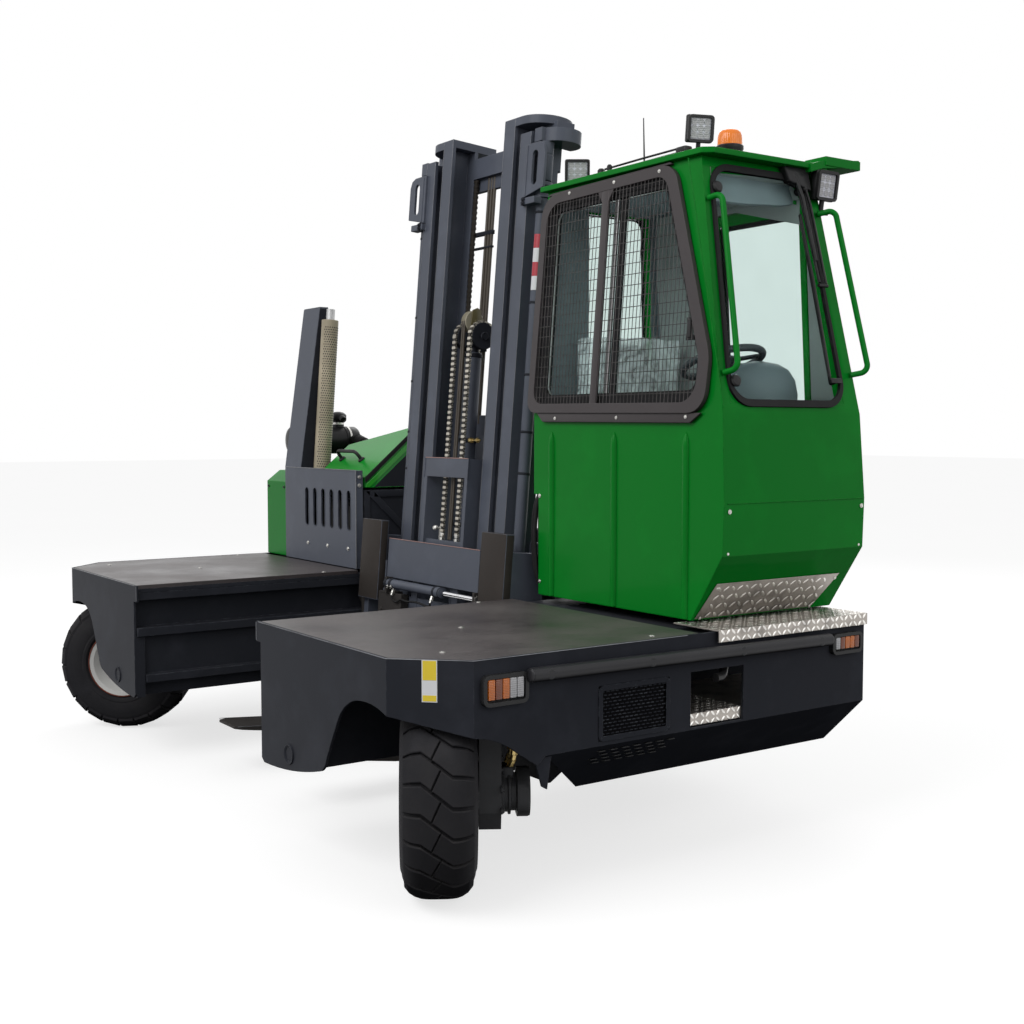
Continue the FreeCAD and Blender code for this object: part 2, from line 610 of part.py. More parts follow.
def inner_mast():
    rail = fuse(box(284, 298, 1250, 1392, mast_bottom + 30, inner_top),
                box(222, 305, 1247, 1265, mast_bottom + 30, inner_top),
                box(222, 305, 1377, 1395, mast_bottom + 30, inner_top))
    # head of the lift rams: a rounded lug outside the mast, carried by a rounded cap over it
    lug_end = rod((lift_x, 1365, 2838), (lift_x, 1365, 2898), 94).common(box(458, 600, 1256, 1460, 2830, 2900))
    lug = fuse(lug_end, box(458, 512, 1250, 1365, 2838, 2898))
    riser = box(300, 500, 1340, 1436, 2896, 2950)
    cap = fuse(box(222, 354, 1247, 1500, 2936, inner_top), rod((354, 1373.5, 2936), (354, 1373.5, inner_top), 126.5))
    right = fuse(rail, lug, riser, cap)
    ties = [box(-300, 300, 1377, 1395, 345, 470), box(-300, 300, 1377, 1395, 1420, 1540),
            box(-300, 300, 1377, 1395, 2800, 2900)]
    cylinder_foot = box(-60, 60, 1250, 1380, 345, 385)
    nodes["inner_mast"] = leaned(fuse(right, mirror_x(right), cylinder_foot, *ties))

    ram = fuse(rod((lift_x, lift_y, 600), (lift_x, lift_y, 2700), 18),
               rod((lift_x, lift_y, 2666), (lift_x, lift_y, 2838), 36))
    nodes["lift_rams"] = leaned(both_sides(ram))
    nodes["free_lift_cylinder"] = leaned(tube((0, 1300, 385), (0, 1300, 1930), 40, 24 + run_fit))


def chain_head():
    """Crosshead on the free-lift ram, with the two chain wheels."""
    ram = rod((0, 1300, 1000), (0, 1300, 2000), 24)
    block = box(-40, 40, 1270, 1330, 1960, 2080)
    wheels = [tube((s * 48, 1300, 2040), (s * 82, 1300, 2040), 72, 20) for s in (-1, 1)]
    axle = rod((-95, 1300, 2040), (95, 1300, 2040), 20)
    nodes["chain_head"] = leaned(fuse(ram, block, axle, *wheels))
    strands = [box(s * 53, s * 77, 1212, 1226, 1030, 2034) for s in (-1, 1)]
    nodes["lift_chains"] = leaned(Part.makeCompound(strands))


def fork_carriage():
    side = fuse(box(165, 190, 1190, 1370, 430, 1420), rod((190, 1321, 560), (275, 1321, 560), 50),
                rod((190, 1321, 1340), (275, 1321, 1340), 50), box(150, 205, 1168, 1215, 560, 1010),
                box(150, 205, 1160, 1170, 822, 1010))
    bar = box(-190, 190, 1190, 1208, 1330, 1420)
    face = box(-408, 408, 1143, 1163, 822, 1012)
    upper = box(-436, 436, 1168, 1196, 660, 740)
    lower = box(-436, 436, 1168, 1196, 250, 330)
    link = box(150, 205, 1168, 1215, 250, 700)
    knees = box(-190, 190, 1205, 1250, 1000, 1030)
    nodes["fork_carriage"] = leaned(fuse(side, mirror_x(side), bar, face, upper, lower, link,
                                         mirror_x(link), knees))


def forks():
    blade_outline = [(1163, 100), (1163, 750), (1122, 750), (1122, 160), (1106, 145), (312, 145),
                     (312, 133), (760, 100)]
    blade = prism("yz", blade_outline, -440, -220)
    tip_cut = prism("xy", [(-450, 300), (-210, 300), (-210, 360), (-240, 310), (-410, 310), (-450, 370)], 90, 150)
    hooks = fuse(box(-425, -350, 1120, 1200, 742, 752), box(-425, -350, 1198, 1206, 700, 752))
    left = fuse(blade.cut(tip_cut), hooks)
    right = mirror_x(left)
    lug_left = box(-360, -340, 1105, 1140, 745, 825)
    lug_right = box(424, 440, 1105, 1140, 725, 825)
    nodes["fork_left"] = leaned(fuse(left, lug_left))
    nodes["fork_right"] = leaned(fuse(right, lug_right, box(400, 440, 1122, 1140, 725, 748)))
    barrel = tube((-340, 1121, 795), (140, 1121, 795), 22, 11 + run_fit)
    gland = tube((108, 1121, 795), (150, 1121, 795), 25, 11 + run_fit)
    nodes["positioner_cylinder"] = leaned(fuse(barrel, gland))
    nodes["positioner_rod"] = leaned(rod((-60, 1121, 795), (424, 1121, 795), 11))


tilt_base = (560.0, 1600.0, 620.0)    # barrel pin of the right tilt cylinder
tilt_eye_local = (560.0, 1410.0, 1020.0)


def lean_point(p):
    a = math.radians(mast_tilt)
    dy, dz = p[1] - tilt_pivot[0], p[2] - tilt_pivot[1]
    return (p[0], tilt_pivot[0] + dy * math.cos(a) + dz * math.sin(a),
            tilt_pivot[1] + dz * math.cos(a) - dy * math.sin(a))


def tilt_cylinders():
    base = V(*tilt_base)
    eye = V(*lean_point(tilt_eye_local))
    along = (eye - base)
    length = along.Length
    along.normalize()
    knuckle = rod((542, base.y, base.z), (594, base.y, base.z), 30)
    barrel = Part.makeCylinder(30, length * 0.62, base, along)
    bore = Part.makeCylinder(14 + run_fit, length, base + along * 60, along)
    pin_bore = rod((530, base.y, base.z), (600, base.y, base.z), 14 + run_fit)
    nodes["tilt_barrels"] = both_sides(fuse(knuckle, barrel).cut(bore).cut(pin_bore))
    ram = Part.makeCylinder(14, length - 90, base + along * 90, along)
    eye_ring = rod((540, eye.y, eye.z), (578, eye.y, eye.z), 28)
    eye_pin = rod((533, eye.y, eye.z), (586, eye.y, eye.z), 12)
    nodes["tilt_rams"] = both_sides(fuse(ram, eye_ring, eye_pin))


# ---- wheels ----
def steering_leg():
    """Turntable, one-sided leg and hub drive, made for a wheel that rolls along X."""
    disc = rod((0, 0, 737), (0, 0, 765), 140)
    pin = rod((0, 0, 760), (0, 0, 798), 40)
    arm = box(-100, 100, -95, 207, 708, 740)
    leg = prism("xz", [(-100, 740), (100, 740), (100, 300), (70, 237), (-70, 237), (-100, 300)], 133, 207)
    hub = rod((0, 133, tyre_radius), (0, -50, tyre_radius), 104)
    axle = rod((0, 0, tyre_radius), (0, -92, tyre_radius), 50)
    neck = rod((0, 207, tyre_radius), (0, 270, tyre_radius), 62)
    motor = rod((0, 262, tyre_radius), (0, 305, tyre_radius), 81)
    return fuse(disc, pin, arm, leg, hub, axle, neck, motor)


def revolve_y(profile, centre_z):
    """Turn an outline of (offset along the axle, radius) about the axle."""
    pts = [V(0, s, centre_z + r) for s, r in profile]
    face = Part.Face(Part.makePolygon(pts + pts[:1]))
    return face.revolve(V(0, 0, centre_z), V(0, 1, 0), 360)


def rim():
    h = tyre_width / 2
    outline = [(-h + 8, 172), (-h + 22, 172), (-h + 28, rim_radius), (h - 28, rim_radius), (h - 22, 172),
               (h - 8, 172), (h - 8, 160), (h - 30, 147), (-62, 147), (-62, 50 + run_fit),
               (-78, 50 + run_fit), (-78, 118), (-h + 14, 150)]
    return revolve_y(outline, tyre_radius)


def tyre():
    h = tyre_width / 2
    r = tyre_radius
    edges_profile = [(-h + 30, rim_radius + 0.5), (-h + 22, 174), (-h + 2, 190), (-h, 250), (-h + 10, 305),
                     (-h + 34, 334), (-h + 70, r), (h - 70, r), (h - 34, 334), (h - 10, 305), (h, 250),
                     (h - 2, 190), (h - 22, 174), (h - 30, rim_radius + 0.5)]
    return revolve_y(edges_profile, tyre_radius)


def wheels():
    places = {"front_right": (front_pivot[0], front_pivot[1], steer_front_right),
              "front_left": (-front_pivot[0], front_pivot[1], steer_front_left),
              "rear": (rear_pivot[0], rear_pivot[1], steer_rear)}
    for name, (x, y, steer) in places.items():
        for node, shape in (("steering_leg_", steering_leg()), ("rim_", rim()), ("tyre_", tyre())):
            shape = turned(shape, steer, (0, 0, 0))
            shape.translate(V(x, y, 0))
            nodes[node + name] = shape


# ---- build ----
chassis()
engine_side()
cab()
reach_carriage()
outer_mast()
inner_mast()
chain_head()
fork_carriage()
forks()
tilt_cylinders()
wheels()

os.makedirs("parts", exist_ok=True)
whole = None
for name, shape in sorted(nodes.items()):
    shape.translate(V(0, -origin_y, 0))
    solids = len(shape.Solids)
    print(f"{name}: {solids} solids, valid {shape.isValid()}, {shape.Volume * 1e-9:.5f} m3")
    shape.exportStep("parts/" + name + ".step")
    whole = shape.BoundBox if whole is None else whole.united(shape.BoundBox)
print("box", [round(v, 1) for v in (whole.XMin, whole.XMax, whole.YMin, whole.YMax, whole.ZMin, whole.ZMax)])
print("nodes", len(nodes))
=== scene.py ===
import bmesh
import bpy
import json
import math
from math import cos, pi, radians, sin
from mathutils import Matrix, Vector, noise

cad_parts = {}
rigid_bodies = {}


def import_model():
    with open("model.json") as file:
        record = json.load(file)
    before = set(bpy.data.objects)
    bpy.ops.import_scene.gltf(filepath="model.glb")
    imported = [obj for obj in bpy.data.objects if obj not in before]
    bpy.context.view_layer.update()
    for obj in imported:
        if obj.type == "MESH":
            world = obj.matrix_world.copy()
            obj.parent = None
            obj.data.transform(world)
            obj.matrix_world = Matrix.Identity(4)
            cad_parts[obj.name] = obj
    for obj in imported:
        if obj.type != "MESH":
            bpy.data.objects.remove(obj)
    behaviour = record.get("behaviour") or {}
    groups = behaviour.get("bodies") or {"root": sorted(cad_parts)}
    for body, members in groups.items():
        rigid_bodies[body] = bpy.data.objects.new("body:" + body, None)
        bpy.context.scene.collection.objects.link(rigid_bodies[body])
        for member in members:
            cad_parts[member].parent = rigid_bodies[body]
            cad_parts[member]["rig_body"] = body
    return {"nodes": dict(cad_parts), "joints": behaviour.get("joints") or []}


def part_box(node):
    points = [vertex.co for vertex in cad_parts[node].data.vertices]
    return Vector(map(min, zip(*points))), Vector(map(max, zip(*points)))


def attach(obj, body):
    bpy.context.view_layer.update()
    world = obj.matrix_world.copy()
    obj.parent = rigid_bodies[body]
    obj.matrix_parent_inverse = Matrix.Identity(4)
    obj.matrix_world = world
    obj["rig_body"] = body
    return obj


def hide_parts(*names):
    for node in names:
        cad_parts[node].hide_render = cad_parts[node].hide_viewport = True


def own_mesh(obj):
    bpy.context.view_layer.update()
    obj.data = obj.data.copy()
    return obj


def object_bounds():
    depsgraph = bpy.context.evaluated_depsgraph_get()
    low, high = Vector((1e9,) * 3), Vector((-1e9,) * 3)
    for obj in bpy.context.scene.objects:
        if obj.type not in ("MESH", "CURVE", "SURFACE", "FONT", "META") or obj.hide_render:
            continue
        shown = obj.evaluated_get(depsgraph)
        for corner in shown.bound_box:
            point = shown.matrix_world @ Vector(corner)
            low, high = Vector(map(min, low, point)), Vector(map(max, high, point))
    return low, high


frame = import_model()
scene = bpy.context.scene
cadLow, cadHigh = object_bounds()
print("frame loaded:", len(frame["nodes"]), "nodes")


# where things are
joints = {j["name"]: j for j in frame["joints"]}
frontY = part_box("platform_frame_right")[0].y      # plane of the platforms' front plates
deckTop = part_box("deck_boards")[1].z
mastPivot = Vector(joints["mast_tilt"]["pos_m"])
liftAxis = Vector(joints["mast_lift"]["axis"])
mastLean = math.atan2(liftAxis.y, liftAxis.z)


def place(x, y, z):
    # y counts from the front of the platforms
    return Vector((x, frontY + y, z))


def places(*spots):
    return [place(*spot) for spot in spots]


def atX(x, spots):
    return [place(x, y, z) for y, z in spots]


def atY(y, spots):
    return [place(x, y, z) for x, z in spots]


def atZ(z, spots):
    return [place(x, y, z) for x, y in spots]


def rect(low, high, bottom, top):
    return ((low, bottom), (high, bottom), (high, top), (low, top))


def turns(count):
    # equal steps round a full circle
    return [2 * pi * k / count for k in range(count)]


def mastMatrix():
    # stands an upright mast piece in its leaning place
    tilt = Matrix.Rotation(-mastLean, 4, "X")
    return Matrix.Translation(mastPivot) @ tilt @ Matrix.Translation(-mastPivot)


def wheelMatrix(where):
    # local X is the way the wheel rolls, local Y its axle, z = 0 the ground
    spot = Vector(joints["steer_" + where]["pos_m"])
    axle = joints["spin_" + where]["axis"]
    turn = math.atan2(-axle[0], axle[1])
    return Matrix.Translation((spot.x, spot.y, 0)) @ Matrix.Rotation(turn, 4, "Z")


# node helpers
def addNode(tree, kind, values=None, **settings):
    node = tree.nodes.new(kind)
    for name, value in settings.items():
        setattr(node, name, value)
    for key, value in (values or {}).items():
        socket = node.inputs[key]
        if isinstance(value, bpy.types.Node):
            value = next(s for s in value.outputs if s.enabled)
        if isinstance(value, bpy.types.NodeSocket):
            tree.links.new(value, socket)
        else:
            socket.default_value = value
    return node


def adder(tree):
    return lambda kind, values=None, **settings: addNode(tree, kind, values, **settings)


def newGroup(name, kind, inputs, outputs):
    tree = bpy.data.node_groups.new(name, kind)
    for label, (socketType, value) in inputs.items():
        socket = tree.interface.new_socket(label, in_out="INPUT", socket_type=socketType)
        if value is not None:
            socket.default_value = value
    for label, socketType in outputs.items():
        tree.interface.new_socket(label, in_out="OUTPUT", socket_type=socketType)
    return tree, adder(tree), addNode(tree, "NodeGroupInput").outputs


def calc(add, operation, *values, clamp=False):
    return add("ShaderNodeMath", dict(enumerate(values)), operation=operation, use_clamp=clamp)


def remap(add, value, low, high, first=0.0, last=1.0):
    return add("ShaderNodeMapRange", {"Value": value, "From Min": low, "From Max": high, "To Min": first,
        "To Max": last})


def patches(add, where, scale, detail, **more):
    values = {"Vector": where, "Scale": scale, "Detail": detail}
    values.update((key.capitalize(), value) for key, value in more.items())
    return add("ShaderNodeTexNoise", values).outputs[0]


number, whole, vector = "NodeSocketFloat", "NodeSocketInt", "NodeSocketVector"


# shader groups
def edgeWearGroup():
    # Mask is 1 along outer edges; Normal rounds every edge off
    tree, add, given = newGroup("edgeWear", "ShaderNodeTree",
        {"Position": (vector, None), "Radius": (number, 0.004), "Strength": (number, 1.0),
        "Breakup": (number, 30.0)}, {"Mask": number, "Normal": vector})
    rounding = add("ShaderNodeBevel", {"Radius": given["Radius"]}, samples=4).outputs["Normal"]
    flat = add("ShaderNodeNewGeometry").outputs["Normal"]
    dot = add("ShaderNodeVectorMath", {0: rounding, 1: flat}, operation="DOT_PRODUCT")
    bend = remap(add, dot.outputs["Value"], 0.995, 0.9)
    broken = remap(add, patches(add, given["Position"], given["Breakup"], 3.0), 0.45, 0.62)
    strong = calc(add, "MULTIPLY", calc(add, "MULTIPLY", bend, broken), given["Strength"], clamp=True)
    add("NodeGroupOutput", {"Mask": strong, "Normal": rounding})
    return tree


def dustGroup():
    # film that lies on upward faces and gathers in patches
    tree, add, given = newGroup("dustFilm", "ShaderNodeTree",
        {"Position": (vector, None), "Amount": (number, 0.3), "Scale": (number, 3.0), "Sides": (number, 0.3)},
        {"Mask": number})
    split = add("ShaderNodeSeparateXYZ", {0: add("ShaderNodeNewGeometry").outputs["Normal"]})
    up = remap(add, split.outputs["Z"], -0.2, 0.9, given["Sides"])
    patch = remap(add, patches(add, given["Position"], given["Scale"], 6.0, roughness=0.65), 0.32, 0.7)
    mask = calc(add, "MULTIPLY", calc(add, "MULTIPLY", up, patch), given["Amount"], clamp=True)
    add("NodeGroupOutput", {"Mask": mask})
    return tree


def grainGroup():
    # broad colour drift and a fine height for orange peel, casting or rubber
    tree, add, given = newGroup("grain", "ShaderNodeTree",
        {"Position": (vector, None), "Fine": (number, 400.0), "Broad": (number, 4.0),
        "Stretch": (vector, (1.0, 1.0, 1.0))}, {"Height": number, "Drift": number})
    moved = add("ShaderNodeVectorMath", {0: given["Position"], 1: given["Stretch"]}, operation="MULTIPLY")
    fine = patches(add, moved.outputs[0], given["Fine"], 2.0)
    broad = patches(add, given["Position"], given["Broad"], 5.0, roughness=0.6)
    add("NodeGroupOutput", {"Height": fine, "Drift": remap(add, broad, 0.3, 0.7, -1.0, 1.0)})
    return tree


edgeWear = edgeWearGroup()
dustFilm = dustGroup()
grain = grainGroup()


# materials
# base: colour of the clean surface, worn: colour of bare edges, dust: colour of the film
finishKeys = ("slot", "base", "worn", "dust", "rough", "shine", "coat", "edge", "wear", "film", "peel",
    "drift")
finishes = {
    "greenPaint": ("green_paint", (0.0012, 0.19, 0.016), (0.02, 0.28, 0.03), (0.05, 0.24, 0.06),
                   0.26, 0.06, 0.04, 0.006, 0.5, 0.05, 0.012, 0.05),
    "slatePaint": ("chassis_paint", (0.024, 0.026, 0.033), (0.12, 0.13, 0.15), (0.075, 0.072, 0.072),
                   0.42, 0.03, 0.0, 0.004, 0.7, 0.16, 0.03, 0.1),
    "tubePaint": ("chassis_paint", (0.018, 0.018, 0.021), (0.1, 0.1, 0.11), (0.055, 0.052, 0.052),
                  0.36, 0.22, 0.1, 0.004, 0.6, 0.12, 0.08, 0.08),
    # a dark copy of the chain steel: painted shade for the inner plates between the outer ones and for the
    # strands at the back of the mast
    "chainPaintedShade": ("chain_steel", (0.03, 0.026, 0.022), (0.1, 0.09, 0.08), (0.06, 0.05, 0.04),
                  0.5, 0.2, 0.0, 0.002, 0.4, 0.2, 0.05, 0.1),
    # near-black chassis paint with no shine: painted shade, used on the grille's field
    "paintedShadeBlack": ("chassis_paint", (0.008, 0.008, 0.009), (0.06, 0.06, 0.07), (0.03, 0.029, 0.028),
                   0.75, 0.0, 0.0, 0.004, 0.7, 0.16, 0.03, 0.1),
    # the hood's copy of the green paint, brighter than greenPaint: painted light on the hood's lit top
    "hoodGreenPaintedLight": ("green_paint", (0.004, 0.26, 0.022), (0.02, 0.28, 0.03), (0.05, 0.28, 0.06),
                  0.24, 0.22, 0.2, 0.006, 0.5, 0.05, 0.012, 0.05),
    "mastPaint": ("mast_paint", (0.076, 0.086, 0.112), (0.2, 0.21, 0.25), (0.16, 0.16, 0.17),
                  0.48, 0.22, 0.05, 0.004, 0.6, 0.12, 0.02, 0.08),
    "brownPaint": ("chassis_paint", (0.034, 0.031, 0.03), (0.12, 0.11, 0.1), (0.12, 0.11, 0.1),
                   0.6, 0.12, 0.0, 0.004, 0.5, 0.15, 0.03, 0.08),
    "guardGrey": ("black_trim", (0.05, 0.043, 0.045), (0.16, 0.14, 0.14), (0.16, 0.15, 0.15),
                  0.46, 0.2, 0.1, 0.004, 0.4, 0.12, 0.02, 0.06),
    "blackTrim": ("black_trim", (0.012, 0.012, 0.013), (0.08, 0.08, 0.08), (0.1, 0.1, 0.1),
                  0.42, 0.2, 0.1, 0.003, 0.4, 0.12, 0.02, 0.1),
    "ballastIron": ("ballast_iron", (0.03, 0.034, 0.042), (0.12, 0.13, 0.15), (0.12, 0.12, 0.12),
                    0.55, 0.15, 0.05, 0.008, 0.6, 0.2, 0.25, 0.12),
    "driveIron": ("drive_casting", (0.022, 0.023, 0.026), (0.1, 0.1, 0.1), (0.1, 0.09, 0.08),
                  0.5, 0.15, 0.1, 0.004, 0.6, 0.25, 0.15, 0.15),
    "engineIron": ("engine_iron", (0.05, 0.05, 0.05), (0.15, 0.14, 0.13), (0.12, 0.11, 0.09),
                   0.6, 0.15, 0.0, 0.006, 0.5, 0.3, 0.3, 0.2),
    "rimWhite": ("rim_paint", (0.62, 0.62, 0.6), (0.25, 0.1, 0.08), (0.3, 0.27, 0.24),
                 0.35, 0.3, 0.2, 0.004, 0.5, 0.3, 0.02, 0.05),
    "guardCream": ("guard_cream", (0.38, 0.33, 0.24), (0.35, 0.28, 0.2), (0.3, 0.26, 0.2),
                   0.4, 0.2, 0.1, 0.002, 0.5, 0.3, 0.03, 0.12),
    "dashPlastic": ("dash_plastic", (0.035, 0.04, 0.048), (0.06, 0.06, 0.07), (0.12, 0.12, 0.12),
                    0.5, 0.25, 0.0, 0.004, 0.2, 0.2, 0.12, 0.06),
    "consolePlastic": ("dash_plastic", (0.1, 0.125, 0.14), (0.15, 0.17, 0.18), (0.2, 0.21, 0.22),
                       0.45, 0.3, 0.0, 0.004, 0.2, 0.15, 0.1, 0.05),
    "tankPlastic": ("tank_plastic", (0.015, 0.015, 0.016), (0.05, 0.05, 0.05), (0.1, 0.09, 0.08),
                    0.5, 0.2, 0.0, 0.008, 0.2, 0.3, 0.08, 0.1),
    "rubberBlack": ("rubber", (0.01, 0.01, 0.011), (0.03, 0.03, 0.03), (0.08, 0.075, 0.07),
                    0.62, 0.15, 0.0, 0.003, 0.2, 0.15, 0.1, 0.1),
    "tyreRubber": ("tyre", (0.02, 0.02, 0.023), (0.05, 0.048, 0.048), (0.07, 0.066, 0.064),
                   0.7, 0.06, 0.0, 0.004, 0.7, 0.5, 0.25, 0.15),
    "beigePulley": ("pulley_beige", (0.36, 0.33, 0.25), (0.2, 0.18, 0.15), (0.2, 0.18, 0.13),
                    0.45, 0.3, 0.0, 0.003, 0.5, 0.3, 0.05, 0.2),
    "labelYellow": ("blank_plate", (0.8, 0.6, 0.02), (0.7, 0.5, 0.05), (0.5, 0.4, 0.2),
                    0.3, 0.4, 0.3, 0.001, 0.1, 0.05, 0.0, 0.03),
    "labelWhite": ("blank_plate", (0.75, 0.76, 0.78), (0.6, 0.6, 0.6), (0.5, 0.5, 0.5),
                   0.3, 0.4, 0.3, 0.001, 0.1, 0.05, 0.0, 0.03),
    "tapeRed": ("red_marking", (0.45, 0.01, 0.03), (0.4, 0.05, 0.05), (0.3, 0.1, 0.1),
                0.25, 0.4, 0.4, 0.001, 0.1, 0.05, 0.0, 0.05),
    "brightGreen": ("green_paint", (0.02, 0.34, 0.02), (0.05, 0.4, 0.05), (0.2, 0.4, 0.2),
                    0.3, 0.25, 0.4, 0.002, 0.2, 0.03, 0.01, 0.04),
    "postBrown": ("mast_paint", (0.036, 0.031, 0.028), (0.12, 0.1, 0.09), (0.12, 0.1, 0.09),
                  0.62, 0.12, 0.0, 0.004, 0.4, 0.2, 0.03, 0.08),
    "hoseBrown": ("rubber", (0.055, 0.045, 0.035), (0.12, 0.1, 0.08), (0.18, 0.15, 0.11),
                  0.45, 0.3, 0.1, 0.002, 0.2, 0.3, 0.05, 0.1),
    "oliveZinc": ("brass_fitting", (0.1, 0.085, 0.035), (0.2, 0.17, 0.08), (0.12, 0.1, 0.06),
                  0.4, 0.4, 0.1, 0.002, 0.4, 0.2, 0.03, 0.2),
    "edgePink": ("mast_paint", (0.34, 0.2, 0.18), (0.4, 0.3, 0.28), (0.2, 0.15, 0.15),
                 0.4, 0.4, 0.1, 0.002, 0.2, 0.05, 0.0, 0.1),
    "rimEdge": ("rim_paint", (0.16, 0.045, 0.03), (0.3, 0.15, 0.1), (0.12, 0.08, 0.06),
                0.6, 0.15, 0.0, 0.002, 0.3, 0.3, 0.05, 0.3),
    "paleTrim": ("dash_plastic", (0.26, 0.28, 0.28), (0.26, 0.28, 0.28), (0.3, 0.3, 0.3),
                 0.7, 0.1, 0.0, 0.003, 0.1, 0.1, 0.1, 0.04),
    "headliner": ("dash_plastic", (0.17, 0.2, 0.22), (0.12, 0.12, 0.12), (0.2, 0.2, 0.2),
                  0.8, 0.1, 0.0, 0.003, 0.1, 0.1, 0.2, 0.06),
}
materials = {}


def startMaterial(name):
    # hands back the tree's adder and the object's own position
    material = bpy.data.materials.new(name)
    material.use_nodes = True
    material.node_tree.nodes.clear()
    materials[name] = material
    add = adder(material.node_tree)
    return add, add("ShaderNodeTexCoord").outputs["Object"]


def blendColours(add, mask, first, second):
    # colours are given without their alpha
    sides = {key: (*side, 1) if isinstance(side, (tuple, list)) else side
        for key, side in ((6, first), (7, second))}
    return add("ShaderNodeMix", {0: mask, **sides}, data_type="RGBA").outputs[2]


def groupNode(add, group, values):
    return add("ShaderNodeGroup", values, node_tree=group).outputs


def bumped(add, strength, distance, height, **more):
    return add("ShaderNodeBump", {"Strength": strength, "Distance": distance, "Height": height, **more})


def closeMaterial(add, tint, rough, **more):
    # words of a socket's name are joined by underscores
    values = {key.replace("_", " "): value for key, value in more.items()}
    surface = add("ShaderNodeBsdfPrincipled", {"Base Color": tint, "Roughness": rough, **values})
    add("ShaderNodeOutputMaterial", {"Surface": surface})


def paintMaterial(name, made):
    add, where = startMaterial(name)
    wear = groupNode(add, edgeWear, {"Position": where, "Radius": made["edge"], "Strength": made["wear"]})
    film = groupNode(add, dustFilm, {"Position": where, "Amount": made["film"]})
    skin = groupNode(add, grain, {"Position": where})
    lighter = [min(1.0, c * (1 + 3 * made["drift"]) + made["drift"] * 0.01) for c in made["base"]]
    drifted = blendColours(add, skin["Drift"], made["base"], lighter)
    worn = blendColours(add, wear["Mask"], drifted, made["worn"])
    dusty = blendColours(add, film["Mask"], worn, made["dust"])
    rough = remap(add, film["Mask"], 0.0, 1.0, made["rough"], min(1.0, made["rough"] + 0.45))
    bump = bumped(add, min(1.0, made["peel"] * 4), 0.001, skin["Height"], Normal=wear["Normal"])
    # faces that look down lose their shine: painted shade that keeps undersides dark instead of reflecting
    # the pale floor
    facing = add("ShaderNodeSeparateXYZ", {0: add("ShaderNodeNewGeometry").outputs["Normal"]})
    shine = remap(add, facing.outputs["Z"], -0.6, -0.2, 0.0, made["shine"])
    closeMaterial(add, dusty, rough, Normal=bump, Coat_Weight=made["coat"], Coat_Roughness=0.06,
        Specular_IOR_Level=shine)


# bare metals: slot, colour, roughness, how far the brushing is stretched
metals = {
    "boltZinc": ("zinc_bolt", (0.62, 0.61, 0.58), 0.34, (1, 1, 1)),
    "brassFitting": ("brass_fitting", (0.55, 0.42, 0.18), 0.32, (1, 1, 1)),
    "chromeRod": ("chrome_rod", (0.8, 0.8, 0.82), 0.07, (1, 1, 1)),
    "meshSteel": ("black_trim", (0.085, 0.08, 0.08), 0.45, (1, 1, 1)),
    "edgeSteel": ("zinc_bolt", (0.17, 0.175, 0.19), 0.4, (1, 1, 1)),
    "chainSteel": ("chain_steel", (0.5, 0.47, 0.41), 0.36, (1, 1, 1)),
    "treadAluminium": ("checker_plate", (0.8, 0.78, 0.74), 0.26, (1, 20, 1)),
    "plateAluminium": ("checker_plate", (0.4, 0.37, 0.34), 0.42, (1, 20, 1)),
    "windowAluminium": ("checker_plate", (0.45, 0.45, 0.45), 0.35, (1, 1, 20)),
}


def metalMaterial(name, slot, base, roughness, brush):
    add, where = startMaterial(name)
    wear = groupNode(add, edgeWear, {"Position": where, "Radius": 0.002, "Strength": 0.4})
    skin = groupNode(add, grain, {"Position": where, "Fine": 90.0, "Broad": 9.0, "Stretch": brush})
    tint = blendColours(add, skin["Drift"], base, [c * 0.55 for c in base])
    rough = remap(add, skin["Height"], 0.3, 0.7, roughness * 0.8, roughness * 1.4)
    bump = bumped(add, 0.08, 0.0006, skin["Height"], Normal=wear["Normal"])
    closeMaterial(add, tint, rough, Normal=bump, Metallic=1.0)


def boardMaterial():
    # film-faced plywood: brown, scuffed, with wet-looking patches and small chips
    add, where = startMaterial("deckBoard")
    film = groupNode(add, dustFilm, {"Position": where, "Amount": 0.75, "Scale": 2.2, "Sides": 0.0})
    skin = groupNode(add, grain, {"Position": where, "Fine": 260.0, "Broad": 9.0})
    chips = add("ShaderNodeTexVoronoi", {"Vector": where, "Scale": 17.0, "Randomness": 1.0})
    chipMask = remap(add, chips.outputs["Distance"], 0.1, 0.06)
    rareMask = remap(add, patches(add, where, 5.0, 2.0), 0.52, 0.6)
    base = blendColours(add, skin["Drift"], (0.05, 0.041, 0.043), (0.034, 0.029, 0.031))
    scuffed = blendColours(add, film["Mask"], base, (0.115, 0.1, 0.098))
    marked = blendColours(add, calc(add, "MULTIPLY", chipMask, rareMask).outputs[0], scuffed,
        (0.012, 0.01, 0.01))
    rough = remap(add, film["Mask"], 0.0, 1.0, 0.3, 0.62)
    closeMaterial(add, marked, rough, Normal=bumped(add, 0.25, 0.001, skin["Height"]))


def glassMaterial(name, tint, rough, film):
    # clear to shadow rays; a light film of dirt catches the light
    add, where = startMaterial(name)
    smear = patches(add, where, 6.0, 5.0)
    haze = remap(add, smear, 0.35, 0.75, rough, rough + film)
    shaded = blendColours(add, smear, tint, [c * 0.94 for c in tint])
    body = add("ShaderNodeBsdfPrincipled", {"Base Color": shaded, "Roughness": haze,
        "Transmission Weight": 1.0, "IOR": 1.08})
    clear = add("ShaderNodeBsdfTransparent", {"Color": (*tint, 1)})
    path = add("ShaderNodeLightPath")
    mixed = add("ShaderNodeMixShader", {0: path.outputs["Is Shadow Ray"], 1: body, 2: clear})
    add("ShaderNodeOutputMaterial", {"Surface": mixed})


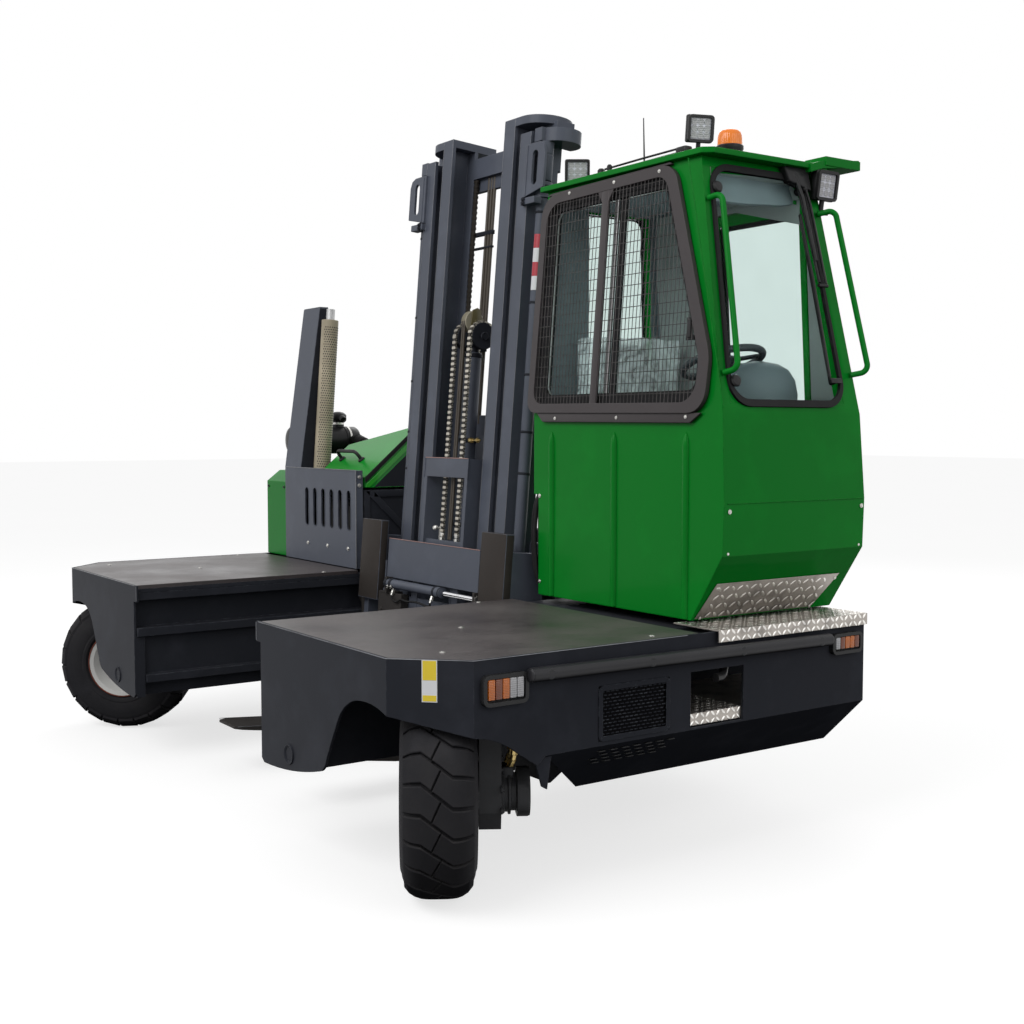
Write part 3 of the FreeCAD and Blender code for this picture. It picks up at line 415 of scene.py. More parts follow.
def lensMaterial(name, base, glow, ridge):
    # moulded lens with fine ribs across it
    add, where = startMaterial(name)
    ribs = add("ShaderNodeTexWave", {"Vector": where, "Scale": ridge, "Distortion": 0.0},
        bands_direction="Z").outputs["Fac"]
    deep = blendColours(add, ribs, base, [c * 0.72 for c in base])
    closeMaterial(add, deep, 0.14, Normal=bumped(add, 0.5, 0.001, ribs), Coat_Weight=0.15,
        Emission_Color=(*base, 1), Emission_Strength=glow)


def seatMaterial():
    # woven cloth
    add, where = startMaterial("seatCloth")
    weave = add("ShaderNodeTexWave", {"Vector": where, "Scale": 160.0, "Distortion": 2.0}).outputs["Fac"]
    skin = groupNode(add, grain, {"Position": where, "Broad": 7.0})
    base = blendColours(add, weave, (0.055, 0.058, 0.066), (0.03, 0.032, 0.038))
    faded = blendColours(add, skin["Drift"], base, (0.075, 0.078, 0.085))
    closeMaterial(add, faded, 0.85, Normal=bumped(add, 0.4, 0.001, weave), Sheen_Weight=0.3)


def filmMaterial():
    # crumpled clear cover: milky, with sharp small highlights
    add, where = startMaterial("clearFilm")
    folds = patches(add, where, 9.0, 8.0, distortion=2.5)
    mask = remap(add, folds, 0.35, 0.65, 0.25, 0.75)
    closeMaterial(add, (0.8, 0.82, 0.85, 1), 0.16, Normal=bumped(add, 1.0, 0.02, folds), Alpha=mask,
        Coat_Weight=0.6)


for finishName, row in finishes.items():
    paintMaterial(finishName, dict(zip(finishKeys, row)))
for metalName, metal in metals.items():
    metalMaterial(metalName, *metal)
boardMaterial()
glassMaterial("cabGlass", (0.8, 0.88, 0.86), 0.0, 0.01)
glassMaterial("screenGlass", (0.82, 0.9, 0.88), 0.0, 0.01)
for name, slot, base, glow, ridge in (("amberLens", "amber_lens", (0.62, 0.15, 0.008), 0.04, 60.0),
        ("beaconLens", "amber_lens", (0.92, 0.22, 0.002), 0.2, 0.5),
        ("deepAmberLens", "amber_lens", (0.22, 0.045, 0.008), 0.0, 60.0),
        ("clearLens", "clear_lens", (0.5, 0.5, 0.52), 0.0, 45.0),
        ("lampFace", "clear_lens", (0.66, 0.67, 0.74), 0.06, 30.0)):
    lensMaterial(name, base, glow, ridge)
seatMaterial()
filmMaterial()
print("materials ready:", len(materials))


# mesh helpers
def shadeByAngle(mesh, limit=radians(32)):
    work = bmesh.new()
    work.from_mesh(mesh)
    for face in work.faces:
        face.smooth = True
    for edge in work.edges:
        edge.smooth = len(edge.link_faces) == 2 and edge.calc_face_angle(0.0) < limit
    work.to_mesh(mesh)
    work.free()


def finishPiece(name, mesh, material, body, replaces=()):
    mesh.materials.clear()
    mesh.materials.append(materials[material])
    piece = bpy.data.objects.new(name, mesh)
    scene.collection.objects.link(piece)
    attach(piece, body)
    if replaces:
        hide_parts(*replaces)
    return piece


class Shape:
    # gathers simple solids into one mesh
    def __init__(self, matrix=None):
        self.work = bmesh.new()
        self.matrix = matrix or Matrix.Identity(4)

    def take(self, part, bevel=0.0, steps=2):
        if bevel > 0:
            sharp = [e for e in part.edges if len(e.link_faces) == 2 and e.calc_face_angle(0.0) > radians(28)]
            bmesh.ops.bevel(part, geom=sharp, offset=bevel, segments=steps, profile=0.5, affect="EDGES",
                clamp_overlap=True)
        bmesh.ops.recalc_face_normals(part, faces=part.faces[:])
        part.transform(self.matrix)
        mesh = bpy.data.meshes.new("part")
        part.to_mesh(mesh)
        part.free()
        self.work.from_mesh(mesh)
        bpy.data.meshes.remove(mesh)
        return self

    def block(self, low, high, bevel=0.0, steps=2):
        low, high = Vector(low), Vector(high)
        part = bmesh.new()
        bmesh.ops.create_cube(part, size=1.0)
        part.transform(Matrix.Translation((low + high) / 2) @ Matrix.Diagonal((*(high - low), 1)))
        return self.take(part, bevel, steps)

    def turnedBlock(self, centre, size, turn, bevel=0.0):
        part = bmesh.new()
        bmesh.ops.create_cube(part, size=1.0)
        part.transform(Matrix.Translation(centre) @ turn.to_4x4() @ Matrix.Diagonal((*size, 1)))
        return self.take(part, bevel)

    def drum(self, start, end, radius, sides=24, bevel=0.0, endRadius=None):
        start, end = Vector(start), Vector(end)
        part = bmesh.new()
        bmesh.ops.create_cone(part, cap_ends=True, segments=sides, radius1=radius,
            radius2=radius if endRadius is None else endRadius, depth=(end - start).length)
        turn = (end - start).to_track_quat("Z", "Y").to_matrix().to_4x4()
        part.transform(Matrix.Translation((start + end) / 2) @ turn)
        return self.take(part, bevel)

    def slab(self, outline, thickness, bevel=0.0, steps=2):
        # a flat outline of corner points, thickened along a vector
        part = bmesh.new()
        face = part.faces.new([part.verts.new(p) for p in outline])
        made = bmesh.ops.extrude_face_region(part, geom=[face])
        moved = [v for v in made["geom"] if isinstance(v, bmesh.types.BMVert)]
        bmesh.ops.translate(part, verts=moved, vec=Vector(thickness))
        return self.take(part, bevel, steps)

    def bridged(self, rings, closed=False):
        part = bmesh.new()
        rows = [[part.verts.new(p) for p in ring] for ring in rings]
        count = len(rows[0])
        for a, b in list(zip(rows, rows[1:])) + ([(rows[-1], rows[0])] if closed else []):
            for i in range(count):
                j = (i + 1) % count
                part.faces.new((a[i], a[j], b[j], b[i]))
        if not closed:
            part.faces.new(rows[0])
            part.faces.new(rows[-1])
        return part

    def loft(self, rings, closed=False, bevel=0.0):
        # skin over rings of points; closed joins the last ring to the first
        return self.take(self.bridged(rings, closed), bevel)

    def lathe(self, profile, origin, axis, sides=32):
        # profile: (distance along the axis, radius); closed where the radius is 0
        origin, axis = Vector(origin), Vector(axis).normalized()
        side = axis.orthogonal().normalized()
        other = axis.cross(side)
        part = self.bridged([[origin + axis * along + (side * cos(a) + other * sin(a)) * max(radius, 1e-5)
            for a in turns(sides)] for along, radius in profile])
        bmesh.ops.remove_doubles(part, verts=part.verts[:], dist=2e-5)
        return self.take(part)

    def stations(self, points, closed):
        # each point with the direction from the one before it to the one after
        points = [Vector(p) for p in points]
        last = len(points) - 1
        for i, p in enumerate(points):
            before = points[i - 1] if (i or closed) else p
            after = points[(i + 1) % (last + 1)] if (i < last or closed) else p
            yield p, (after - before).normalized()

    def pipe(self, points, radius, sides=10, closed=False):
        # round bar along a smooth list of points
        rings = []
        up = None
        for p, along in self.stations(points, closed):
            if up is None:
                up = along.orthogonal().normalized()
            up = (up - along * up.dot(along)).normalized()
            side = along.cross(up)
            rings.append([p + (up * cos(a) + side * sin(a)) * radius for a in turns(sides)])
        return self.loft(rings, closed=closed)

    def band(self, points, width, thick, outward, closed=True, bevel=0.0):
        # flat bar with its wide side along the outline's plane; outward is the plane's normal
        outward = Vector(outward).normalized()
        rings = []
        for p, along in self.stations(points, closed):
            side = along.cross(outward).normalized()
            rings.append([p + side * width / 2 * s + outward * thick * t for s, t in rect(-1, 1, 0, 1)])
        return self.loft(rings, closed=closed, bevel=bevel)

    def make(self, name, material, body="chassis", replaces=(), smooth=32):
        mesh = bpy.data.meshes.new(name)
        self.work.to_mesh(mesh)
        self.work.free()
        shadeByAngle(mesh, radians(smooth))
        return finishPiece(name, mesh, material, body, replaces)


def rounded(points, radius, steps=5, closed=True):
    # round the corners of an outline off with arcs
    points = [Vector(p) for p in points]
    count = len(points)
    made = []
    for i, corner in enumerate(points):
        if not closed and i in (0, count - 1):
            made.append(corner)
            continue
        before, after = points[i - 1], points[(i + 1) % count]
        u, w = (before - corner).normalized(), (after - corner).normalized()
        half = math.acos(max(-0.9999, min(0.9999, u.dot(w)))) / 2
        r = radius[i] if isinstance(radius, (list, tuple)) else radius
        if r <= 0:
            made.append(corner)
            continue
        centre = corner + (u + w).normalized() * (r / sin(half))
        first = corner + u * (r / math.tan(half)) - centre
        last = corner + w * (r / math.tan(half)) - centre
        whole = first.angle(last)
        for k in range(steps + 1):
            t = k / steps
            made.append(centre + (first * sin((1 - t) * whole) + last * sin(t * whole)) / sin(whole))
    return made


def flatter(mesh):
    # wide faces keep their own direction, the rounded edges between them take up the turn
    holder = bpy.data.objects.new("holder", mesh)
    scene.collection.objects.link(holder)
    modifier = holder.modifiers.new("weigh", "WEIGHTED_NORMAL")
    modifier.keep_sharp = True
    modifier.weight = 90
    bpy.context.view_layer.update()
    made = bpy.data.meshes.new_from_object(holder.evaluated_get(bpy.context.evaluated_depsgraph_get()))
    holder.modifiers.remove(modifier)
    bpy.data.objects.remove(holder)
    return made


def softened(node, width, material):
    # a CAD node's own form with its edges rounded off
    source = frame["nodes"][node]
    work = bmesh.new()
    work.from_mesh(source.data)
    bmesh.ops.remove_doubles(work, verts=work.verts[:], dist=0.00005)
    bmesh.ops.dissolve_limit(work, angle_limit=radians(0.4), verts=work.verts[:], edges=work.edges[:],
        delimit={"NORMAL"})
    sharp = [e for e in work.edges if len(e.link_faces) == 2 and e.calc_face_angle(0.0) > radians(28)]
    bmesh.ops.bevel(work, geom=sharp, offset=width, segments=2, profile=0.5, affect="EDGES",
        clamp_overlap=True)
    bmesh.ops.triangulate(work, faces=[f for f in work.faces if len(f.verts) > 4])
    mesh = bpy.data.meshes.new(node + "_skin")
    work.to_mesh(mesh)
    work.free()
    shadeByAngle(mesh)
    return finishPiece(node + "_skin", flatter(mesh), material, source["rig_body"], (node,))


def paintNode(node, material):
    # the CAD piece itself, with its finish
    thing = frame["nodes"][node]
    thing.data.materials.clear()
    thing.data.materials.append(materials[material])
    shadeByAngle(thing.data)


# geometry node trees
def geometryGroup(name, inputs):
    given = {"Geometry": ("NodeSocketGeometry", None), **inputs, "Finish": ("NodeSocketMaterial", None)}
    return newGroup(name, "GeometryNodeTree", given, {"Geometry": "NodeSocketGeometry"})


def closeTree(tree, add, given, made):
    plainMesh = add("GeometryNodeRealizeInstances", {"Geometry": made})
    coated = add("GeometryNodeSetMaterial", {"Geometry": plainMesh, "Material": given["Finish"]})
    add("NodeGroupOutput", {"Geometry": coated})
    return tree


def alongAttribute(add, name, axis="Z", **more):
    wanted = add("GeometryNodeInputNamedAttribute", {"Name": name}, data_type="FLOAT_VECTOR")
    values = {"Vector": wanted.outputs["Attribute"], **more}
    return add("FunctionNodeAlignRotationToVector", values, axis=axis)


def copies(add, points, instance, **more):
    return add("GeometryNodeInstanceOnPoints", {"Points": points, "Instance": instance, **more})


def drumNode(add, sides, radius, depth):
    return add("GeometryNodeMeshCylinder", {"Vertices": sides, "Radius": radius, "Depth": depth})


def joinAll(tree, add, *parts):
    together = add("GeometryNodeJoinGeometry")
    for part in parts:
        tree.links.new(part.outputs[0], together.inputs[0])
    return together


def boltTree():
    # hexagon heads on round washers, standing on points along "facing"
    tree, add, given = geometryGroup("boltHeads",
        {"Radius": (number, 0.008), "Height": (number, 0.006), "Washer": (number, 0.012)})
    head = drumNode(add, 6, given["Radius"], given["Height"])
    raised = add("GeometryNodeTransform", {"Geometry": head,
        "Translation": add("ShaderNodeCombineXYZ", {"Z": given["Height"]})})
    both = joinAll(tree, add, raised, drumNode(add, 14, given["Washer"], given["Height"]))
    placed = copies(add, given["Geometry"], both, Rotation=alongAttribute(add, "facing"))
    return closeTree(tree, add, given, placed)


def wireTree():
    # round wire or hose along every line of the carrier
    tree, add, given = geometryGroup("wiresAlongLines", {"Radius": (number, 0.002), "Sides": (whole, 6)})
    lines = add("GeometryNodeMeshToCurve", {"Mesh": given["Geometry"]})
    ring = add("GeometryNodeCurvePrimitiveCircle", {"Resolution": given["Sides"], "Radius": given["Radius"]})
    wire = add("GeometryNodeCurveToMesh", {"Curve": lines, "Profile Curve": ring.outputs["Curve"],
        "Fill Caps": True})
    return closeTree(tree, add, given, add("GeometryNodeSetShadeSmooth", {"Geometry": wire}))


def chainTree():
    # leaf chain: packs of plates in turn, with a pin through each joint; Inner keeps the narrow packs alone
    tree, add, given = geometryGroup("leafChain",
        {"Pitch": (number, 0.0127), "Wide": (vector, (0.024, 0.012, 0.017)),
        "Narrow": (vector, (0.014, 0.012, 0.017)), "Pin": (number, 0.0042),
        "Inner": ("NodeSocketBool", False)})
    line = add("GeometryNodeMeshToCurve", {"Mesh": given["Geometry"]})
    steps = add("GeometryNodeResampleCurve", {"Curve": line, "Length": given["Pitch"]}, mode="LENGTH")
    halves = calc(add, "MODULO", add("GeometryNodeInputIndex"), 2.0)
    odd = add("FunctionNodeCompare", {2: halves, 3: 0}, data_type="INT", operation="EQUAL")
    even = add("FunctionNodeBooleanMath", {0: odd.outputs[0]}, operation="NOT")
    turn = add("FunctionNodeAlignRotationToVector", {"Vector": add("GeometryNodeInputTangent")}, axis="Z")
    packs = [copies(add, steps, add("GeometryNodeMeshCube", {"Size": size}), Selection=chosen.outputs[0],
        Rotation=turn) for size, chosen in ((given["Wide"], odd), (given["Narrow"], even))]
    across = add("ShaderNodeSeparateXYZ", {0: given["Wide"]}).outputs["X"]
    pin = drumNode(add, 8, given["Pin"], calc(add, "MULTIPLY", across, 1.12))
    lying = add("GeometryNodeTransform", {"Geometry": pin, "Rotation": (0.0, pi / 2, 0.0)})
    outer = joinAll(tree, add, packs[0], copies(add, steps, lying, Rotation=turn))
    picked = add("GeometryNodeSwitch", {"Switch": given["Inner"], "False": outer.outputs[0],
        "True": packs[1].outputs[0]})
    return closeTree(tree, add, given, picked.outputs[0])


def treadTree():
    # raised bars in a basket pattern on a flat field, each turned across its neighbour
    tree, add, given = geometryGroup("treadField",
        {"Length": (number, 1.0), "Width": (number, 0.3), "Columns": (whole, 20), "Rows": (whole, 6),
        "Bar": (vector, (0.016, 0.005, 0.0022))})
    grid = add("GeometryNodeMeshGrid", {"Size X": given["Length"], "Size Y": given["Width"],
        "Vertices X": given["Columns"], "Vertices Y": given["Rows"]})
    index = add("GeometryNodeInputIndex")
    column = calc(add, "FLOOR", calc(add, "DIVIDE", index, given["Rows"]))
    parity = calc(add, "MODULO", calc(add, "ADD", index, column), 2.0)
    # an odd number of rows already alternates, so the column is added back for even counts
    shift = calc(add, "MULTIPLY", calc(add, "MODULO", given["Rows"], 2.0), column)
    total = calc(add, "MODULO", calc(add, "ADD", parity, shift), 2.0)
    turn = add("ShaderNodeCombineXYZ", {"Z": calc(add, "MULTIPLY_ADD", total, pi / 2, pi / 4)})
    bead = add("GeometryNodeMeshUVSphere", {"Segments": 8, "Rings": 4, "Radius": 1.0})
    bar = add("GeometryNodeTransform", {"Geometry": bead, "Scale": given["Bar"]})
    placed = copies(add, grid, bar, Rotation=turn.outputs[0])
    return closeTree(tree, add, given, add("GeometryNodeSetShadeSmooth", {"Geometry": placed}))


def partTree():
    # copies of a given part on points: its X along "along", its Z towards "facing"
    tree, add, given = geometryGroup("partOnPoints", {"Part": ("NodeSocketObject", None)})
    part = add("GeometryNodeObjectInfo", {"Object": given["Part"], "As Instance": True})
    turn = alongAttribute(add, "along", "X", Rotation=alongAttribute(add, "facing"))
    turn.pivot_axis = "Z"
    return closeTree(tree, add, given, copies(add, given["Geometry"], part.outputs["Geometry"],
        Rotation=turn))


trees = {"bolts": boltTree(), "wires": wireTree(), "chain": chainTree(), "tread": treadTree(),
    "parts": partTree()}


def carrierMesh(points, edges=(), **attributes):
    mesh = bpy.data.meshes.new("carrier")
    mesh.from_pydata([tuple(p) for p in points], [tuple(e) for e in edges], [])
    for name, values in attributes.items():
        layer = mesh.attributes.new(name, "FLOAT_VECTOR", "POINT")
        for i, value in enumerate(values):
            layer.data[i].vector = value
    return mesh


def grown(treeName, carrier, values, material):
    # runs a tree on a carrier mesh and hands back the plain mesh
    tree = trees[treeName]
    holder = bpy.data.objects.new("holder", carrier)
    scene.collection.objects.link(holder)
    modifier = holder.modifiers.new("grow", "NODES")
    modifier.node_group = tree
    sockets = {item.name: item.identifier for item in tree.interface.items_tree if item.in_out == "INPUT"}
    for label, value in {**values, "Finish": materials[material]}.items():
        modifier[sockets[label]] = value
    bpy.context.view_layer.update()
    mesh = bpy.data.meshes.new_from_object(holder.evaluated_get(bpy.context.evaluated_depsgraph_get()))
    holder.modifiers.remove(modifier)
    bpy.data.objects.remove(holder)
    return mesh


def bolts(name, points, facings, radius, material="boltZinc", height=None, washer=None, matrix=None,
        body="chassis"):
    # facings: one direction for each point, or one for all
    turn = matrix or Matrix.Identity(4)
    if not isinstance(facings, list):
        facings = [facings] * len(points)
    carrier = carrierMesh([turn @ Vector(p) for p in points],
        facing=[turn.to_3x3() @ Vector(f) for f in facings])
    boltSizes = {"Radius": radius, "Height": height or radius * 0.7, "Washer": washer or radius * 1.5}
    mesh = grown("bolts", carrier, boltSizes, material)
    shadeByAngle(mesh)
    return finishPiece(name, mesh, material, body)


def wires(name, lines, radius, material, sides=6, matrix=None, body="chassis"):
    points, edges = [], []
    for line in lines:
        start = len(points)
        points += [(matrix or Matrix.Identity(4)) @ Vector(p) for p in line]
        edges += [(start + i, start + i + 1) for i in range(len(line) - 1)]
    mesh = grown("wires", carrierMesh(points, edges), {"Radius": radius, "Sides": sides}, material)
    shadeByAngle(mesh, radians(70))
    return finishPiece(name, mesh, material, body)


def spread(name, shape, spots, facing, along, material, smooth=32, body="chassis"):
    # one small form repeated on points by the parts tree
    mesh = bpy.data.meshes.new(name + "_unit")
    shape.work.to_mesh(mesh)
    shape.work.free()
    unit = bpy.data.objects.new(name + "_unit", mesh)
    scene.collection.objects.link(unit)
    facings = facing if isinstance(facing, list) else [tuple(facing)] * len(spots)
    alongs = along if isinstance(along, list) else [tuple(along)] * len(spots)
    carrier = carrierMesh(spots, facing=facings, along=alongs)
    made = grown("parts", carrier, {"Part": unit}, material)
    bpy.data.objects.remove(unit)
    shadeByAngle(made, radians(smooth))
    return finishPiece(name, made, material, body)


def smoothLine(points, steps=8):
    # Catmull-Rom curve through hose points
    points = [Vector(p) for p in points]
    padded = [points[0] * 2 - points[1]] + points + [points[-1] * 2 - points[-2]]
    made = []
    for a, b, c, d in zip(padded, padded[1:], padded[2:], padded[3:]):
        for k in range(steps):
            t = k / steps
            made.append(0.5 * ((2 * b) + (c - a) * t + (2 * a - 5 * b + 4 * c - d) * t * t
                + (3 * b - a - 3 * c + d) * t ** 3))
    return made + [points[-1]]


# CAD pieces with their finishes
# bevel in metres; these forms are already whole, so only their edges are softened
skins = {
    "platform_frame_right": (0.003, "slatePaint"), "platform_frame_left": (0.003, "slatePaint"),
    "deck_boards": (0.0015, "deckBoard"), "guide_beams": (0.003, "slatePaint"),
    "bumper_tubes": (0.006, "tubePaint"), "rear_frame": (0.004, "slatePaint"),
    "counterweight": (0.006, "ballastIron"), "engine_block": (0.012, "engineIron"),
    "engine_cover": (0.006, "greenPaint"), "engine_bay_wall": (0.002, "slatePaint"),
    "engine_hood": (0.006, "hoodGreenPaintedLight"), "load_guard": (0.002, "mastPaint"),
    "fuel_tank": (0.02, "tankPlastic"), "cab_shell": (0.007, "greenPaint"),
    "cab_roof": (0.006, "greenPaint"), "cab_door": (0.004, "greenPaint"),
    "tread_plates": (0.001, "plateAluminium"), "reach_carriage": (0.003, "brownPaint"),
    "outer_mast": (0.003, "mastPaint"), "inner_mast": (0.003, "mastPaint"),
    "fork_carriage": (0.003, "mastPaint"), "fork_left": (0.003, "brownPaint"),
    "fork_right": (0.003, "brownPaint"),
}
plain = {
    "handrails": "greenPaint", "lift_cylinders": "mastPaint",
    "free_lift_cylinder": "mastPaint", "positioner_cylinder": "mastPaint", "positioner_rod": "chromeRod",
    "tilt_barrels": "mastPaint", "tilt_rams": "chromeRod", "chain_head": "beigePulley",
    "cab_windows": "cabGlass", "windscreen": "screenGlass", "door_glass": "cabGlass",
    "seat": "seatCloth", "steering_console": "dashPlastic", "window_guard": "guardGrey",
    "marker_lamps": "amberLens", "work_lights": "dashPlastic", "beacon": "amberLens",
    "exhaust_stack": "guardCream", "air_cleaner": "blackTrim", "lift_chains": "chainSteel",
}
for where in ("front_right", "front_left", "rear"):
    plain["rim_" + where] = "rimWhite"
    plain["tyre_" + where] = "tyreRubber"
    plain["steering_leg_" + where] = "driveIron"
for node, (width, finish) in skins.items():
    softened(node, width, finish)
for node, finish in plain.items():
    paintNode(node, finish)
print("frame pieces finished")


# chassis details
# lengths in metres, y from the front of the platforms
plateDetail = {"edgeBright": 0.0016, "boardScrew": 0.011}


def chassisDetails():
    # screws in the deck boards
    spots = [(1.258, 0.542), (1.676, 0.202), (0.711, 0.98), (1.804, 0.984)]
    points = [place(sign * x, y, deckTop + 0.0005) for x, y in spots for sign in (1, -1)]
    bolts("deck_screws", points, (0, 0, 1), plateDetail["boardScrew"] * 0.6, "boltZinc", height=0.002,
        washer=plateDetail["boardScrew"])
    # bright worn lines along the upper edges of the plates
    lines = []
    for sign in (1, -1):
        rim = [(0.695, -0.0005), (1.664, -0.0005), (1.8605, 0.203), (1.8605, 1.1)]
        lines.append([place(sign * x, y, deckTop - 0.0012) for x, y in rim])
        lines.append([place(sign * 0.671, 0.0, z) for z in (0.77, 0.838)])
    wires("plate_edges", lines, plateDetail["edgeBright"], "edgeSteel", sides=5)
    # weld beads where the cross box meets the platforms
    beads = []
    for sign in (1, -1):
        beads.append([place(sign * 0.6935, y, 0.769) for y in (1.67, 1.9, 2.1)])
        beads.append([place(sign * 0.7285, y, 0.599) for y in (0.06, 0.9, 2.05)])
        beads.append([place(sign * 0.7285, y, 0.4185) for y in (0.06, 0.9, 2.05)])
    wires("weld_beads", beads, 0.005, "slatePaint", sides=6)
    # recessed bolts of the bumper tubes
    heads = Shape()
    for sign in (1, -1):
        for y in (0.47, 0.9, 1.33, 1.74):
            z = 0.779 - (y - 0.404) * 0.0093
            heads.lathe([(0.0, 0.017), (0.004, 0.017), (0.006, 0.013), (0.006, 0.008), (-0.004, 0.008)],
                place(sign * 1.905, y, z), (sign, 0, 0), sides=20)
    heads.make("bumper_bolts", "driveIron")
    # rounded caps of the bumper tubes
    caps = Shape()
    for sign in (1, -1):
        for y, z, way in ((0.404, 0.779, -1), (1.8, 0.766, 1)):
            caps.lathe([(0.0, 0.0235), (0.004, 0.0225), (0.008, 0.017), (0.0095, 0.006)],
                place(sign * 1.888, y, z), (0, way, 0), sides=28)
    caps.make("bumper_caps", "tubePaint")


def grilles():
    # pressed grille in the right side plate and the slotted vent in the plate below it
    frameShape = Shape()
    y0, y1, z0, z1 = 0.702, 1.018, 0.516, 0.704
    outline = rounded(atX(1.8605, rect(y0 + 0.008, y1 - 0.008, z0 + 0.008, z1 - 0.008)), 0.012)
    frameShape.band(outline, 0.018, 0.003, (1, 0, 0))
    frameShape.make("grille_frame", "slatePaint")
    # a black back and a near-black sheet stand for the perforated field: painted shade where its holes would
    # show the dark inside
    back = Shape().block(place(1.846, y0 + 0.004, z0 + 0.004), place(1.848, y1 - 0.004, z1 - 0.004))
    back.make("grille_back", "blackTrim")
    # brick-bonded lips, each a short bar that stands out of the sheet
    dashes = []
    rows, columns = 13, 14
    for row in range(rows):
        z = z0 + 0.022 + (z1 - z0 - 0.044) * row / (rows - 1)
        for column in range(columns - row % 2):
            y = y0 + 0.022 + (y1 - y0 - 0.044) * (column + 0.5 * (row % 2)) / (columns - 1)
            dashes.append(place(1.8535, y, z))
    lip = Shape().slab([(-0.0085, -0.003, 0.0), (0.0085, -0.003, 0.0), (0.006, -0.0015, 0.004),
        (-0.006, -0.0015, 0.004)], (0, 0.004, 0.0))
    spread("grille_lips", lip, dashes, (1, 0, 0), (0, 1, 0), "slatePaint")
    sheet = Shape().block(place(1.85, y0 + 0.004, z0 + 0.004), place(1.8525, y1 - 0.004, z1 - 0.004))
    sheet.make("grille_sheet", "paintedShadeBlack")
    corners = [place(1.8615, y, z) for y in (0.712, 0.86, 1.008) for z in (0.527, 0.693)]
    bolts("grille_screws", corners, (1, 0, 0), 0.0035, "slatePaint", height=0.002, washer=0.0055)
    # vent slots pressed in the slanting plate, drawn in black: painted shade in their openings
    down = (Vector((1.598, 0, 0.288)) - Vector((1.86, 0, 0.501))).normalized()
    out = Vector((down.z, 0, -down.x)) * -1
    for sign in (1, -1):
        way, face = Vector((sign * down.x, 0, down.z)), Vector((sign * out.x, 0, out.z))
        spots = []
        for row in range(4):
            for column in range(7 - row % 2):
                y = 0.735 + 0.052 * (column + 0.5 * (row % 2))
                top = place(sign * 1.86, y, 0.501) + way * (0.035 + 0.03 * row)
                spots.append(top + face * 0.001)
        slot = Shape().slab([(-0.017, -0.006, 0), (0.017, -0.006, 0), (0.014, 0.004, 0.008),
            (-0.014, 0.004, 0.008)], (0, 0.002, -0.003), bevel=0.001, steps=1)
        spread("skirt_louvres_" + ("right" if sign > 0 else "left"), slot, spots, face, (0, 1, 0),
            "blackTrim")


def labelAndHooks():
    # blank plate on the slanting corner: a yellow field above and below a white one
    along = (place(1.8605, 0.203, 0) - place(1.664, 0, 0)).normalized()
    out = Vector((along.y, -along.x, 0))
    start = place(1.744, 0.083, 0.706) + out * 0.0004
    width = 0.05
    fields = (("corner_plate_yellow", "labelYellow", 0.0014, ((0.003, 0.022, 0.003), (0.07, 0.132, 0.003))),
        ("corner_plate_white", "labelWhite", 0.001, ((0.0, 0.135, 0.0),)))
    for name, material, thick, spans in fields:
        sheet = Shape()
        for low, high, inset in spans:
            left, right = start + along * inset, start + along * (width - inset)
            up = Vector((0, 0, 1))
            sheet.slab([left + up * low, right + up * low, right + up * high, left + up * high], out * thick)
        sheet.make(name, material)
    # pointed hook brackets under the side plates
    hooks = Shape()
    for sign in (1, -1):
        outline = [(0.452, 0.47), (0.486, 0.5), (0.515, 0.5), (0.505, 0.44), (0.497, 0.384), (0.476, 0.396),
            (0.466, 0.43)]
        hooks.slab(atX(sign * 1.85, outline), (sign * -0.01, 0, 0), bevel=0.002)
    hooks.make("side_hooks", "slatePaint")
    # towing eyes inside the holes of the front plates
    rings = Shape()
    for sign in (1, -1):
        rings.lathe([(0.0, 0.0262), (-0.003, 0.03), (-0.0045, 0.036), (0.0005, 0.0375)],
            place(sign * 0.948, -0.0005, 0.388), (0, 1, 0), sides=36)
    rings.make("tow_hole_rings", "slatePaint")
    # pipe fitting seen in the step opening
    fitting = Shape()
    fitting.pipe(smoothLine(places((1.8, 1.335, 0.74), (1.81, 1.325, 0.69), (1.835, 1.29, 0.672),
        (1.846, 1.25, 0.672))), 0.016, sides=12)
    fitting.drum(place(1.806, 1.335, 0.715), place(1.806, 1.335, 0.745), 0.023, sides=6, bevel=0.002)
    fitting.make("step_pipe", "blackTrim")


